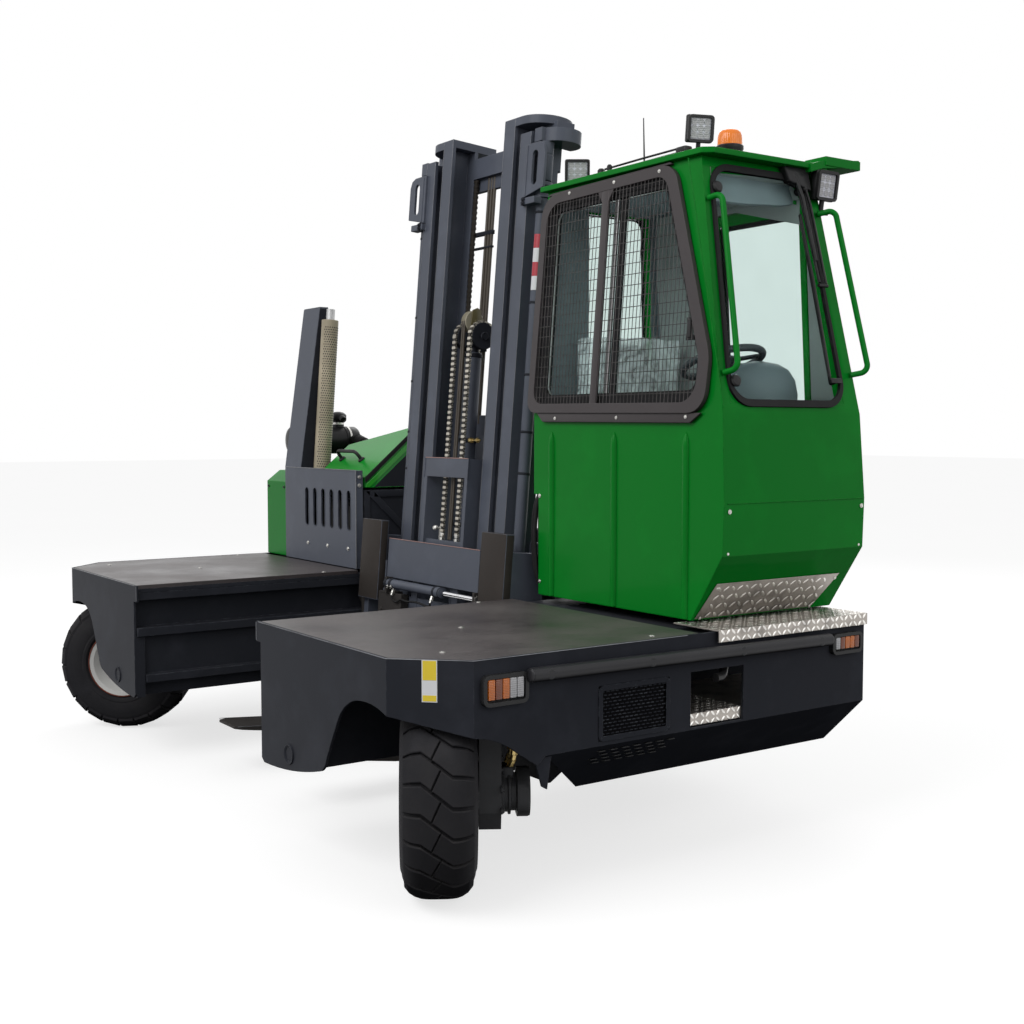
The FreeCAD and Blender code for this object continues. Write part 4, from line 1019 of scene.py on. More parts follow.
def markerLamps():
    # black bezel with a row of lens cells along the platform; the rear one is its mirror
    cells = {"front": (0.229, 0.398, 0.694, 0.79,
        ("amberLens", "deepAmberLens", "amberLens", "clearLens", "clearLens")),
        "rear": (1.834, 1.997, 0.702, 0.778, ("clearLens", "deepAmberLens", "amberLens", "amberLens",
        "deepAmberLens"))}
    for end, (y0, y1, z0, z1, lenses) in cells.items():
        bezel = Shape()
        for sign in (1, -1):
            outline = rounded(atX(sign * 1.8605, rect(y0 + 0.004, y1 - 0.004, z0 + 0.004, z1 - 0.004)), 0.016)
            bezel.slab(outline, (sign * 0.009, 0, 0), bevel=0.003)
            bezel.band(outline, 0.013, 0.021, (sign, 0, 0), bevel=0.003)
        bezel.make("lamp_bezels_" + end, "blackTrim", replaces=("marker_lamps",) if end == "front" else ())
        width = (y1 - y0 - 0.03) / len(lenses)
        byLens = {}
        for k, lens in enumerate(lenses):
            byLens.setdefault(lens, []).append(y0 + 0.015 + width * k)
        for lens, starts in byLens.items():
            shape = Shape()
            for sign in (1, -1):
                for y in starts:
                    outline = rounded([place(sign * 1.868, a, b)
                        for a, b in ((y + 0.0015, z0 + 0.018), (y + width - 0.0015, z0 + 0.018),
                        (y + width - 0.001, z1 - 0.012), (y + 0.001, z1 - 0.012))], 0.004)
                    shape.slab(outline, (sign * 0.0125, 0, 0), bevel=0.003)
            shape.make("lamp_cells_" + end + "_" + lens, lens)


def treadPlates():
    # raised bars on the step, the landing, their turned-down edges and the kick plate
    def field(name, centre, length, width, turn, step=0.03, bar=(0.0135, 0.0052, 0.002)):
        columns, rows = max(2, round(length / step) + 1), max(2, round(width / step) + 1)
        carrier = carrierMesh([(0, 0, 0)])
        mesh = grown("tread", carrier, {"Length": length, "Width": width, "Columns": columns, "Rows": rows,
            "Bar": bar}, "treadAluminium")
        mesh.transform(Matrix.Translation(centre) @ turn.to_4x4())
        shadeByAngle(mesh, radians(60))
        finishPiece(name, mesh, "treadAluminium", "chassis")
    flat = Matrix.Rotation(pi / 2, 3, "Z")
    upright = Matrix(((0, 0, 1), (1, 0, 0), (0, 1, 0)))
    field("tread_landing", place(1.761, 1.628, 0.8492), 0.755, 0.205, flat)
    field("tread_landing_edge", place(1.8822, 1.628, 0.827), 0.755, 0.026, upright, step=0.026)
    field("tread_step", place(1.62, 1.25, 0.5553), 0.23, 0.43, flat)
    field("tread_step_edge", place(1.8482, 1.25, 0.533), 0.23, 0.026, upright, step=0.026)
    low, high = Vector((1.688, 0, 0.852)), Vector((1.846, 0, 1.107))
    lean = (high - low).normalized()
    out = Vector((lean.z, 0, -lean.x))
    middle = place(0, 1.618, 0) + low + lean * 0.0915 + out * 0.0052
    tilt = Matrix((Vector((0, 1, 0)), lean, out)).transposed()
    field("tread_kick", middle, 0.56, 0.12, tilt, step=0.036, bar=(0.017, 0.0062, 0.0014))
    corners = [place(0, y, 0) + low + lean * s + out * 0.0055
        for y, s in ((1.325, 0.155), (1.955, 0.155), (1.305, 0.02), (1.89, 0.02))]
    bolts("kick_screws", corners, out, 0.004, height=0.0025, washer=0.007)


chassisDetails()
grilles()
labelAndHooks()
markerLamps()
treadPlates()
print("chassis details finished")


# cab, seen from outside
cabDetail = {"ribWidth": 0.028, "ribRise": 0.015, "wire": 0.0016, "wirePitch": 0.0214, "wireRise": 0.0425}
guardLean = math.atan2(0.074, 0.95)
frontLean = math.atan2(0.203, 0.95)
frontOut = Vector((cos(frontLean), 0, sin(frontLean)))


def guardPoint(x, z, out=0.0):
    # on the leaning plane of the window guard; out is the distance towards the outside
    turn = Matrix.Rotation(-guardLean, 3, "X")
    pivot = place(x, 1.274, 1.62)
    return pivot + turn @ Vector((0, -0.019 - out, z - 1.62))


def frontPoint(y, z, out=0.0):
    # on the leaning front of the cab
    return place(1.846 - (z - 1.62) * math.tan(frontLean), y, z) + frontOut * out


def guardPoints(out, spots):
    return [guardPoint(x, z, out) for x, z in spots]


def frontPoints(out, spots):
    return [frontPoint(y, z, out) for y, z in spots]


def sidePoint(x, z, out=0.0):
    # on the door side, upright to the fold and leaning in above it
    lean = max(0.0, z - 1.297) * (0.084 / 1.273)
    return place(x, 2.024 - lean + out, z)


def frameRing(shape, outer, inner, thickness, bevel=0.0):
    lift = Vector(thickness)
    rings = [outer, [p + lift for p in outer], [p + lift for p in inner], inner]
    return shape.loft(rings, closed=True, bevel=bevel)


def cornerFill(shape, points, radius, thickness):
    # plates the corners of an opening outside its rounded outline
    steps = 6
    arcs = rounded(points, radius, steps=steps)
    for i, corner in enumerate(points):
        shape.slab([Vector(corner)] + arcs[i * (steps + 1):(i + 1) * (steps + 1)], thickness)


def acrossOutline(outline, value, along):
    # where a straight wire enters and leaves an outline of (x, z) points
    found = []
    for (x0, z0), (x1, z1) in zip(outline, outline[1:] + outline[:1]):
        a0, b0, a1, b1 = (x0, z0, x1, z1) if along == "x" else (z0, x0, z1, x1)
        if min(a0, a1) <= value < max(a0, a1):
            found.append(b0 + (b1 - b0) * (value - a0) / (a1 - a0))
    return (min(found), max(found)) if len(found) > 1 else None


def cabRibs():
    ribs = Shape()
    half, rise = cabDetail["ribWidth"] / 2, cabDetail["ribRise"]
    ribShape = ((-1.1, 0), (-0.85, 0.6), (-0.45, 1.0), (0.45, 1.0), (0.85, 0.6), (1.1, 0))
    for x in (0.828, 1.24, 1.656):
        rings = []
        for z, size in ((0.862, 1.0), (1.0, 1.0), (1.2, 1.0), (1.5, 1.0), (1.53, 0.8), (1.553, 0.1)):
            rings.append([place(x + half * s * size, 1.2745 - rise * size * t, z) for s, t in ribShape])
        ribs.loft(rings)
    for y in (1.5, 1.8):
        rings = []
        for z, size in ((1.33, 0.1), (1.36, 0.8), (1.39, 1.0), (1.6, 1.0), (1.63, 0.8), (1.65, 0.1)):
            rings.append([place(0.6985 - rise * size * t, y + half * s * size, z) for s, t in ribShape])
        ribs.loft(rings)
    ribs.make("cab_ribs", "greenPaint", smooth=60)
    # flanges and seams of the front panel
    lines = [[frontPoint(1.279, z, 0.001) for z in (2.55, 1.64)],
        [place(1.8575, y, 1.297) for y in (1.29, 2.01)]]
    wires("cab_seams", lines, 0.0022, "greenPaint", sides=8)
    spots = [(0.741, 1.273, 1.281), (0.741, 1.273, 0.915)]
    front = [(1.859, 1.3, 1.268), (1.8495, 1.3, 1.116), (1.859, 2.005, 1.268), (1.8495, 2.0, 1.116)]
    bolts("cab_bolts", [place(*p) for p in spots + front],
        [(0, -1, 0)] * len(spots) + [(1, 0, 0)] * len(front), 0.0052, height=0.003, washer=0.0085)


def windowGuard():
    outer = [(0.674, 1.632), (1.768, 1.62), (1.779, 1.828), (1.522, 2.56), (0.694, 2.55)]
    inner = [(0.714, 1.67), (1.716, 1.66), (1.724, 1.824), (1.48, 2.52), (0.734, 2.51)]
    frameShape = Shape()
    thick = guardPoint(1, 1.62, 0.018) - guardPoint(1, 1.62, 0.0)
    outerRing = rounded(guardPoints(-0.014, outer), [0.055, 0.09, 0.2, 0.1, 0.1], steps=7)
    innerRing = rounded(guardPoints(-0.014, inner), [0.055, 0.085, 0.18, 0.075, 0.085], steps=7)
    frameRing(frameShape, outerRing, innerRing, thick, bevel=0.003)
    # bar between the two sashes, with webs at its upper end
    def sheet(shape, corners, depth, share, bevel=0.0):
        shape.slab(guardPoints(depth, corners), thick * share, bevel=bevel)
    sheet(frameShape, rect(1.1, 1.14, 1.664, 2.514), -0.01, 0.8, 0.003)
    sheet(frameShape, ((1.07, 2.516), (1.17, 2.516), (1.14, 2.47), (1.1, 2.47)), -0.008, 0.6)
    frameShape.make("window_guard_frame", "guardGrey", replaces=("window_guard",))
    # folded ledge below with its screws
    ledge = Shape()
    sheet(ledge, ((0.78, 1.594), (1.69, 1.586), (1.745, 1.622), (0.735, 1.632)), -0.014, 0.55, 0.002)
    sheet(ledge, ((0.72, 2.548), (1.5, 2.56), (1.49, 2.569), (0.74, 2.558)), -0.018, 0.9, 0.002)
    ledge.make("window_guard_ledges", "guardGrey")
    out = guardPoint(1, 1.62, 1.0) - guardPoint(1, 1.62, 0.0)
    low = [guardPoint(x, 1.608, -0.003) for x in (0.87, 1.27, 1.668)]
    high = [guardPoint(x, 2.541, 0.0045) for x in (0.88, 1.17, 1.44)]
    bolts("guard_screws", low + high, out, 0.0042, height=0.003, washer=0.0072)
    # welded mesh: upright wires in front, level ones behind
    upright, level = [], []
    x = 0.736
    while x < 1.72:
        span = acrossOutline(inner, x, "x")
        if span and not 1.098 < x < 1.142:
            upright.append([guardPoint(x, span[0] - 0.006, 0.001), guardPoint(x, span[1] + 0.006, 0.001)])
        x += cabDetail["wirePitch"]
    z = 1.697
    while z < 2.515:
        span = acrossOutline(inner, z, "z")
        if span:
            level.append([guardPoint(span[0] - 0.006, z, -0.0008), guardPoint(span[1] + 0.006, z, -0.0008)])
        z += cabDetail["wireRise"]
    wires("guard_mesh", upright + level, cabDetail["wire"], "meshSteel", sides=5)
    latch = Shape()
    for z0, z1 in ((1.89, 1.908), (1.956, 1.974)):
        sheet(latch, ((1.64, z0), (1.686, z0), (1.68, z1), (1.64, z1)), -0.012, 0.5, 0.002)
    sheet(latch, ((1.65, 1.898), (1.673, 1.898), (1.668, 1.966), (1.65, 1.966)), -0.01, 0.8, 0.003)
    latch.make("sash_latch", "blackTrim")


def sashes():
    # sliding windows behind the guard: bright and black profiles
    bright, dark = Shape(), Shape()
    thick = guardPoint(1, 1.62, 0.012) - guardPoint(1, 1.62, 0.0)
    def bar(shape, x0, x1, z0, z1, depth):
        shape.slab(guardPoints(depth, rect(x0, x1, z0, z1)), thick, bevel=0.002, steps=1)
    bar(bright, 1.15, 1.168, 1.69, 2.495, -0.04)
    bar(dark, 1.172, 1.212, 1.69, 2.495, -0.046)
    outline = [(0.742, 1.688), (1.708, 1.688), (1.714, 1.838), (1.472, 2.5), (0.742, 2.5)]
    inner = [(0.762, 1.708), (1.688, 1.708), (1.692, 1.832), (1.458, 2.48), (0.762, 2.48)]
    frameRing(bright, rounded(guardPoints(-0.036, outline), 0.05), rounded(guardPoints(-0.036, inner), 0.04),
        thick * -0.8)
    bright.make("sash_profiles", "windowAluminium")
    frameRing(dark, rounded(guardPoints(-0.022, outline), 0.05), rounded(guardPoints(-0.022, inner), 0.04),
        thick * -1.1)
    # rubber on the edge of the opening and around it
    edge = [(0.7445, 1.6895), (1.7055, 1.6895), (1.7125, 1.8405), (1.4705, 2.5005), (0.7445, 2.5005)]
    around = [(0.7, 1.655), (1.735, 1.645), (1.745, 1.825), (1.5, 2.53), (0.715, 2.525)]
    within = [(0.749, 1.694), (1.701, 1.694), (1.707, 1.839), (1.467, 2.496), (0.749, 2.496)]
    for outer, depth, share in ((around, -0.0195, 0.2), (edge, -0.064, 3.75)):
        frameRing(dark, guardPoints(depth, outer), guardPoints(depth, within), thick * share)
    dark.make("sash_seals", "rubberBlack")


def windscreenDetails():
    corners = [frontPoint(1.318, 1.66), frontPoint(1.918, 1.66), frontPoint(1.868, 2.53),
        frontPoint(1.384, 2.53)]
    middle = sum(corners, Vector()) / 4
    def scaled(share):
        return [middle + (c - middle) * share for c in corners]
    filler = Shape()
    cornerFill(filler, [c - frontOut * 0.006 for c in scaled(1.01)], 0.085, frontOut * 0.005)
    filler.make("screen_corners", "greenPaint")
    seal = Shape()
    outer = rounded([c + frontOut * -0.004 for c in scaled(1.036)], 0.1, steps=8)
    inner = rounded([c + frontOut * -0.004 for c in scaled(0.976)], 0.08, steps=8)
    frameRing(seal, outer, inner, frontOut * 0.014, bevel=0.004)
    seal.make("screen_seal", "rubberBlack", smooth=50)
    knobs = Shape()
    for y, z in ((1.392, 2.45), (1.345, 1.735)):
        knobs.lathe([(-0.014, 0.012), (0.006, 0.012), (0.008, 0.021), (0.018, 0.023), (0.024, 0.018),
            (0.026, 0.006)], frontPoint(y, z), frontOut, sides=24)
    knobs.drum(frontPoint(1.874, 1.745, -0.01), frontPoint(1.874, 1.745, 0.016), 0.012, sides=16)
    knobs.slab(frontPoints(0.012, rect(1.845, 1.905, 1.735, 1.755)), frontOut * 0.01, bevel=0.003)
    knobs.make("screen_knobs", "blackTrim")
    # wiper: two arms side by side down to the blade carrier
    arms = Shape()
    arms.pipe([frontPoint(1.8, 2.535, 0.028), frontPoint(1.806, 2.47, 0.034), frontPoint(1.85, 2.12, 0.03)],
        0.0055, sides=8)
    arms.pipe([frontPoint(1.852, 2.49, 0.028), frontPoint(1.862, 2.42, 0.032),
        frontPoint(1.886, 2.115, 0.03)], 0.0055, sides=8)
    arms.pipe([frontPoint(1.8, 2.535, 0.03), frontPoint(1.808, 2.44, 0.046), frontPoint(1.838, 2.2, 0.038)],
        0.0075, sides=8)
    arms.pipe([frontPoint(1.842, 2.108, 0.03), frontPoint(1.892, 2.108, 0.03)], 0.007, sides=10)
    arms.pipe([frontPoint(1.812, 2.38, 0.018), frontPoint(1.828, 2.12, 0.02), frontPoint(1.842, 1.76, 0.018)],
        0.006, sides=8)
    for y, z in ((1.8, 2.53), (1.852, 2.488)):
        arms.lathe([(-0.02, 0.015), (0.02, 0.015), (0.03, 0.012), (0.036, 0.005)], frontPoint(y, z), frontOut,
            sides=18)
    arms.slab(frontPoints(0.002, ((1.745, 2.565), (1.875, 2.565), (1.88, 2.478), (1.765, 2.505))),
        frontOut * 0.034, bevel=0.006)
    arms.make("wiper_arms", "blackTrim", smooth=50)
    blade = Shape()
    line = [frontPoint(1.812 + 0.03 * t, 2.385 - 0.64 * t, 0.01) for t in (k / 12 for k in range(13))]
    blade.band(line, 0.004, 0.014, (0, 1, 0.02), closed=False)
    blade.pipe([p + frontOut * 0.009 for p in line], 0.0042, sides=8)
    blade.make("wiper_blade", "rubberBlack")


def doorAndRear():
    # rubber around the door's pane and the rear window, handle, grab rail
    seal = Shape()
    def doorRing(x0, x1, z0, z1, out, radius):
        return rounded([sidePoint(x, z, out) for x, z in rect(x0, x1, z0, z1)], radius, steps=6)
    frameRing(seal, doorRing(1.108, 1.612, 1.388, 2.434, 0.001, 0.05),
        doorRing(1.14, 1.58, 1.42, 2.402, 0.001, 0.03), (0, 0.012, 0), bevel=0.003)
    seal.make("door_glass_seal", "rubberBlack", "cab_door", smooth=50)
    handle = Shape().slab([sidePoint(x, z, 0.002) for x, z in rect(1.47, 1.6, 1.235, 1.305)], (0, 0.006, 0),
        bevel=0.002)
    handle.pipe(rounded([sidePoint(x, z, o) for x, z, o in ((1.485, 1.285, 0.004), (1.485, 1.285, 0.04),
        (1.585, 1.285, 0.04), (1.585, 1.285, 0.004))], 0.014, steps=5, closed=False), 0.007, sides=10)
    handle.drum(sidePoint(1.575, 1.253, 0.004), sidePoint(1.575, 1.253, 0.016), 0.01, sides=20, bevel=0.002)
    handle.make("door_handle", "blackTrim", "cab_door")
    inside = Shape()
    inside.pipe(rounded(places((1.13, 1.955, 1.34), (1.13, 1.915, 1.34), (1.45, 1.915, 1.34),
        (1.45, 1.955, 1.34)), 0.02, closed=False), 0.011, sides=12)
    inside.make("door_pull", "blackTrim", "cab_door")
    rear = Shape()
    outer = [(1.513, 1.668), (1.922, 1.668), (1.9, 2.522), (1.513, 2.522)]
    inner = [(1.543, 1.698), (1.892, 1.698), (1.872, 2.492), (1.543, 2.492)]
    frameRing(rear, rounded(atX(0.6985, outer), 0.06, steps=6), rounded(atX(0.6985, inner), 0.04, steps=6),
        (-0.012, 0, 0), bevel=0.003)
    rear.make("rear_window_seal", "rubberBlack", smooth=50)
    sides = Shape().slab(atY(2.0245, rect(0.76, 1.0, 0.94, 1.25)), (0, 0.004, 0), bevel=0.002)
    sides.slab(atX(0.7305, rect(1.36, 1.94, 0.93, 1.24)), (-0.004, 0, 0), bevel=0.002)
    sides.make("cab_access_plates", "greenPaint")
    spots = [place(x, 2.0285, z) for x in (0.775, 0.985) for z in (0.955, 1.235)]
    spots += [place(0.7265, y, z) for y in (1.375, 1.925) for z in (0.945, 1.225)]
    bolts("access_screws", spots, [(0, 1, 0)] * 4 + [(-1, 0, 0)] * 4, 0.0045, height=0.003, washer=0.008)
    # dark guide and hoses in the corner beside the mast
    guide = Shape().block(place(0.7015, 1.29, 0.862), place(0.7295, 1.42, 1.284), bevel=0.004)
    guide.make("corner_hose_guide", "blackTrim")
    hoses = [smoothLine(places((0.716, 1.288, 1.285), (0.7 + dx, 1.276, 1.22), (0.694 + dx, 1.272, 1.1),
        (0.7 + dx, 1.276, 0.98), (0.714, 1.288, 0.9))) for dx in (0.0, 0.014)]
    wires("corner_hoses", hoses, 0.0085, "rubberBlack", sides=10)


def insideCab(spot):
    y, z = spot.y - place(0, 0, 0).y, spot.z
    rise, lean = max(0.0, z - 1.62) / 0.95, max(0.0, z - 1.297) / 1.273
    near, far, front = 1.274 + 0.074 * rise, 2.024 - 0.084 * lean, 1.846 - 0.203 * rise - 0.03
    front = min(front, 1.688 + 0.6546 * (z - 0.858) - 0.055)
    return 0.735 < spot.x < front and near + 0.04 < y < far - 0.04 and 0.92 < z < 2.53


def cabInside():
    # seat: shaped foam in cloth, with a crumpled clear cover over it
    seat = Shape().block(place(0.9, 1.49, 0.905), place(1.31, 1.83, 1.12), bevel=0.02)
    seat.make("seat_box", "dashPlastic")
    cushion = Shape().block(place(0.865, 1.475, 1.15), place(1.34, 1.85, 1.275), bevel=0.045, steps=4)
    for y0, y1 in ((1.455, 1.505), (1.82, 1.87)):
        cushion.block(place(0.9, y0, 1.165), place(1.33, y1, 1.3), bevel=0.022, steps=3)
    tilt = Matrix.Rotation(radians(-4), 3, "Y")
    cushion.turnedBlock(place(0.855, 1.662, 1.54), (0.11, 0.34, 0.52), tilt, bevel=0.045)
    for y in (1.49, 1.834):
        cushion.turnedBlock(place(0.865, y, 1.5), (0.13, 0.055, 0.4), tilt, bevel=0.024)
    cushion.turnedBlock(place(0.835, 1.662, 1.855), (0.09, 0.25, 0.15), tilt, bevel=0.04)
    foam = cushion.make("seat_cushions", "seatCloth", replaces=("seat",), smooth=60)
    cover = Shape()
    for centre, size in ((place(0.86, 1.662, 1.62), (0.17, 0.43, 0.66)),
            (place(1.1, 1.662, 1.26), (0.5, 0.43, 0.16))):
        part = bmesh.new()
        bmesh.ops.create_cube(part, size=1.0)
        bmesh.ops.subdivide_edges(part, edges=part.edges[:], cuts=13, use_grid_fill=True)
        for vert in part.verts:
            spot = Vector((vert.co.x * size[0], vert.co.y * size[1], vert.co.z * size[2]))
            wrinkle = noise.noise(spot * 13.0 + centre) + 0.5 * noise.noise(spot * 34.0 + centre)
            vert.co = centre + spot * (1.0 + 0.045 * wrinkle)
        cover.take(part)
    cover.make("seat_cover_film", "clearFilm", smooth=80)
    # rounded console with column and wheel
    console = Shape()
    dome = []
    for z, share in ((1.15, 0.62), (1.35, 0.7), (1.52, 0.86), (1.62, 0.98), (1.69, 1.0), (1.745, 0.93),
            (1.785, 0.76), (1.808, 0.5), (1.818, 0.12)):
        dome.append([place(1.615 + 0.12 * share * cos(a), 1.683 + 0.178 * share * sin(a), z + 0.008)
            for a in turns(40)])
    console.loft(dome)
    console.make("console_dome", "consolePlastic", replaces=("steering_console",), smooth=60)
    wheel = Shape()
    hub = place(1.468, 1.635, 1.826)
    axis = Vector((-sin(radians(19)), 0, cos(radians(19))))
    side = axis.orthogonal().normalized()
    other = axis.cross(side)
    ring = [hub + (side * cos(a) + other * sin(a)) * 0.158 for a in turns(48)]
    wheel.pipe(ring, 0.015, sides=12, closed=True)
    wheel.lathe([(-0.03, 0.03), (-0.004, 0.055), (0.01, 0.052), (0.016, 0.036)], hub, axis, sides=28)
    for turn in (0.3, 2.4, 4.5):
        way = side * cos(turn) + other * sin(turn)
        wheel.band([hub + way * 0.04, hub + way * 0.1, hub + way * 0.152], 0.034, 0.008, axis, closed=False,
            bevel=0.002)
    wheel.drum(hub - axis * 0.02, hub - axis * 0.2, 0.03, sides=24, endRadius=0.045)
    wheel.make("steering_wheel", "dashPlastic", smooth=60)
    lining = Shape().slab(frontPoints(-0.055, ((1.375, 2.545), (1.885, 2.545), (1.885, 2.462), (1.8, 2.445),
        (1.6, 2.432), (1.375, 2.428))), frontOut * -0.02)
    lining.block(place(0.745, 1.385, 2.5), place(1.6, 1.905, 2.5385), bevel=0.012)
    lining.block(place(0.742, 1.32, 0.9), place(0.752, 1.975, 1.66))
    lining.make("cab_lining", "headliner")
    # sheets on the inner faces of the walls and posts, dark ones at the rear
    for name, material, behind in (("cab_wall_sheets", "paleTrim", False),
            ("cab_rear_sheets", "consolePlastic", True)):
        walls = bmesh.new()
        walls.from_mesh(frame["nodes"]["cab_shell"].data)
        bmesh.ops.remove_doubles(walls, verts=walls.verts[:], dist=0.00005)
        spots = {f: f.calc_center_median() + f.normal * 0.004 for f in walls.faces}
        rest = [f for f, spot in spots.items() if not insideCab(spot) or (spot.x < 0.76) != behind]
        bmesh.ops.delete(walls, geom=rest, context="FACES")
        for vert in walls.verts:
            vert.co += vert.normal * 0.0025
        bmesh.ops.solidify(walls, geom=walls.faces[:], thickness=0.002)
        Shape().take(walls).make(name, material)
    door = bmesh.new()
    door.from_mesh(frame["nodes"]["cab_door"].data)
    bmesh.ops.remove_doubles(door, verts=door.verts[:], dist=0.00005)
    bmesh.ops.delete(door, geom=[f for f in door.faces if f.normal.y > -0.5 or f.calc_area() < 0.02],
        context="FACES")
    for vert in door.verts:
        vert.co += vert.normal * 0.0015
    bmesh.ops.solidify(door, geom=door.faces[:], thickness=0.001)
    Shape().take(door).make("door_lining", "paleTrim", "cab_door")
    floorMat = Shape().block(place(0.745, 1.32, 0.8995), place(1.7, 1.978, 0.912), bevel=0.004)
    floorMat.make("cab_floor_mat", "rubberBlack")
    levers = Shape()
    for y in (1.4, 1.435, 1.47):
        levers.drum(place(1.22, y, 1.28), place(1.235, y, 1.44), 0.006, sides=10)
        levers.lathe([(0.0, 0.008), (0.012, 0.017), (0.034, 0.016), (0.045, 0.007)], place(1.2345, y, 1.435),
            (0.1, 0, 1), sides=18)
    levers.block(place(1.12, 1.375, 1.1), place(1.33, 1.445, 1.285), bevel=0.015)
    levers.make("control_levers", "blackTrim")


cabRibs()
windowGuard()
sashes()
windscreenDetails()
doorAndRear()
cabInside()
print("cab details finished")


# roof and the things on it
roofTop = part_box("beacon")[0].z
lampDetail = {"finCount": 7, "cells": 3, "beaconRibs": 40}


def workLamp(name, centre, turn, stem, first=False, size=1.0):
    # square work lamp on a stem: finned housing, bezel and a lens of small reflectors
    matrix = Matrix.Translation(centre) @ Matrix.Rotation(radians(turn), 4, "Z") @ Matrix.Rotation(radians(8),
        4, "Y")
    matrix = matrix @ Matrix.Scale(size, 4)
    housing = Shape(matrix)
    housing.block((-0.02, -0.06, -0.058), (0.008, 0.06, 0.058), bevel=0.008)
    rim = rounded([(0.006, y, z) for y, z in rect(-0.053, 0.053, -0.051, 0.051)], 0.01)
    housing.band([Vector(p) for p in rim], 0.012, 0.013, (1, 0, 0), bevel=0.002)
    for k in range(lampDetail["finCount"]):
        y = -0.048 + 0.016 * k
        housing.block((-0.034, y - 0.0022, -0.046), (-0.018, y + 0.0022, 0.046), bevel=0.001, steps=1)
    housing.drum((-0.006, 0, -0.056), (-0.006, 0, -0.06 - stem / size), 0.01, sides=14)
    housing.block((-0.018, -0.024, -0.064 - stem / size), (0.014, 0.024, -0.056 - stem / size), bevel=0.002)
    housing.make(name + "_housing", "blackTrim", "chassis", ("work_lights",) if first else ())
    lens = Shape(matrix)
    lens.block((0.004, -0.048, -0.046), (0.0105, 0.048, 0.046), bevel=0.004)
    lens.make(name + "_lens", "lampFace")
    spots, cells = [], lampDetail["cells"]
    for row in range(cells):
        for column in range(cells):
            spots.append(matrix @ Vector((0.0107, (column - 1) * 0.029, (row - 1) * 0.028)))
    cup = Shape().lathe([(0.0, 0.0125), (0.0012, 0.0125), (0.0012, 0.0095), (0.0004, 0.003)], (0, 0, 0),
        (0, 0, 1), sides=14)
    out = matrix.to_3x3() @ Vector((1, 0, 0))
    side = matrix.to_3x3() @ Vector((0, 1, 0))
    spread(name + "_cells", cup, spots, out.normalized(), side.normalized(), "clearLens")


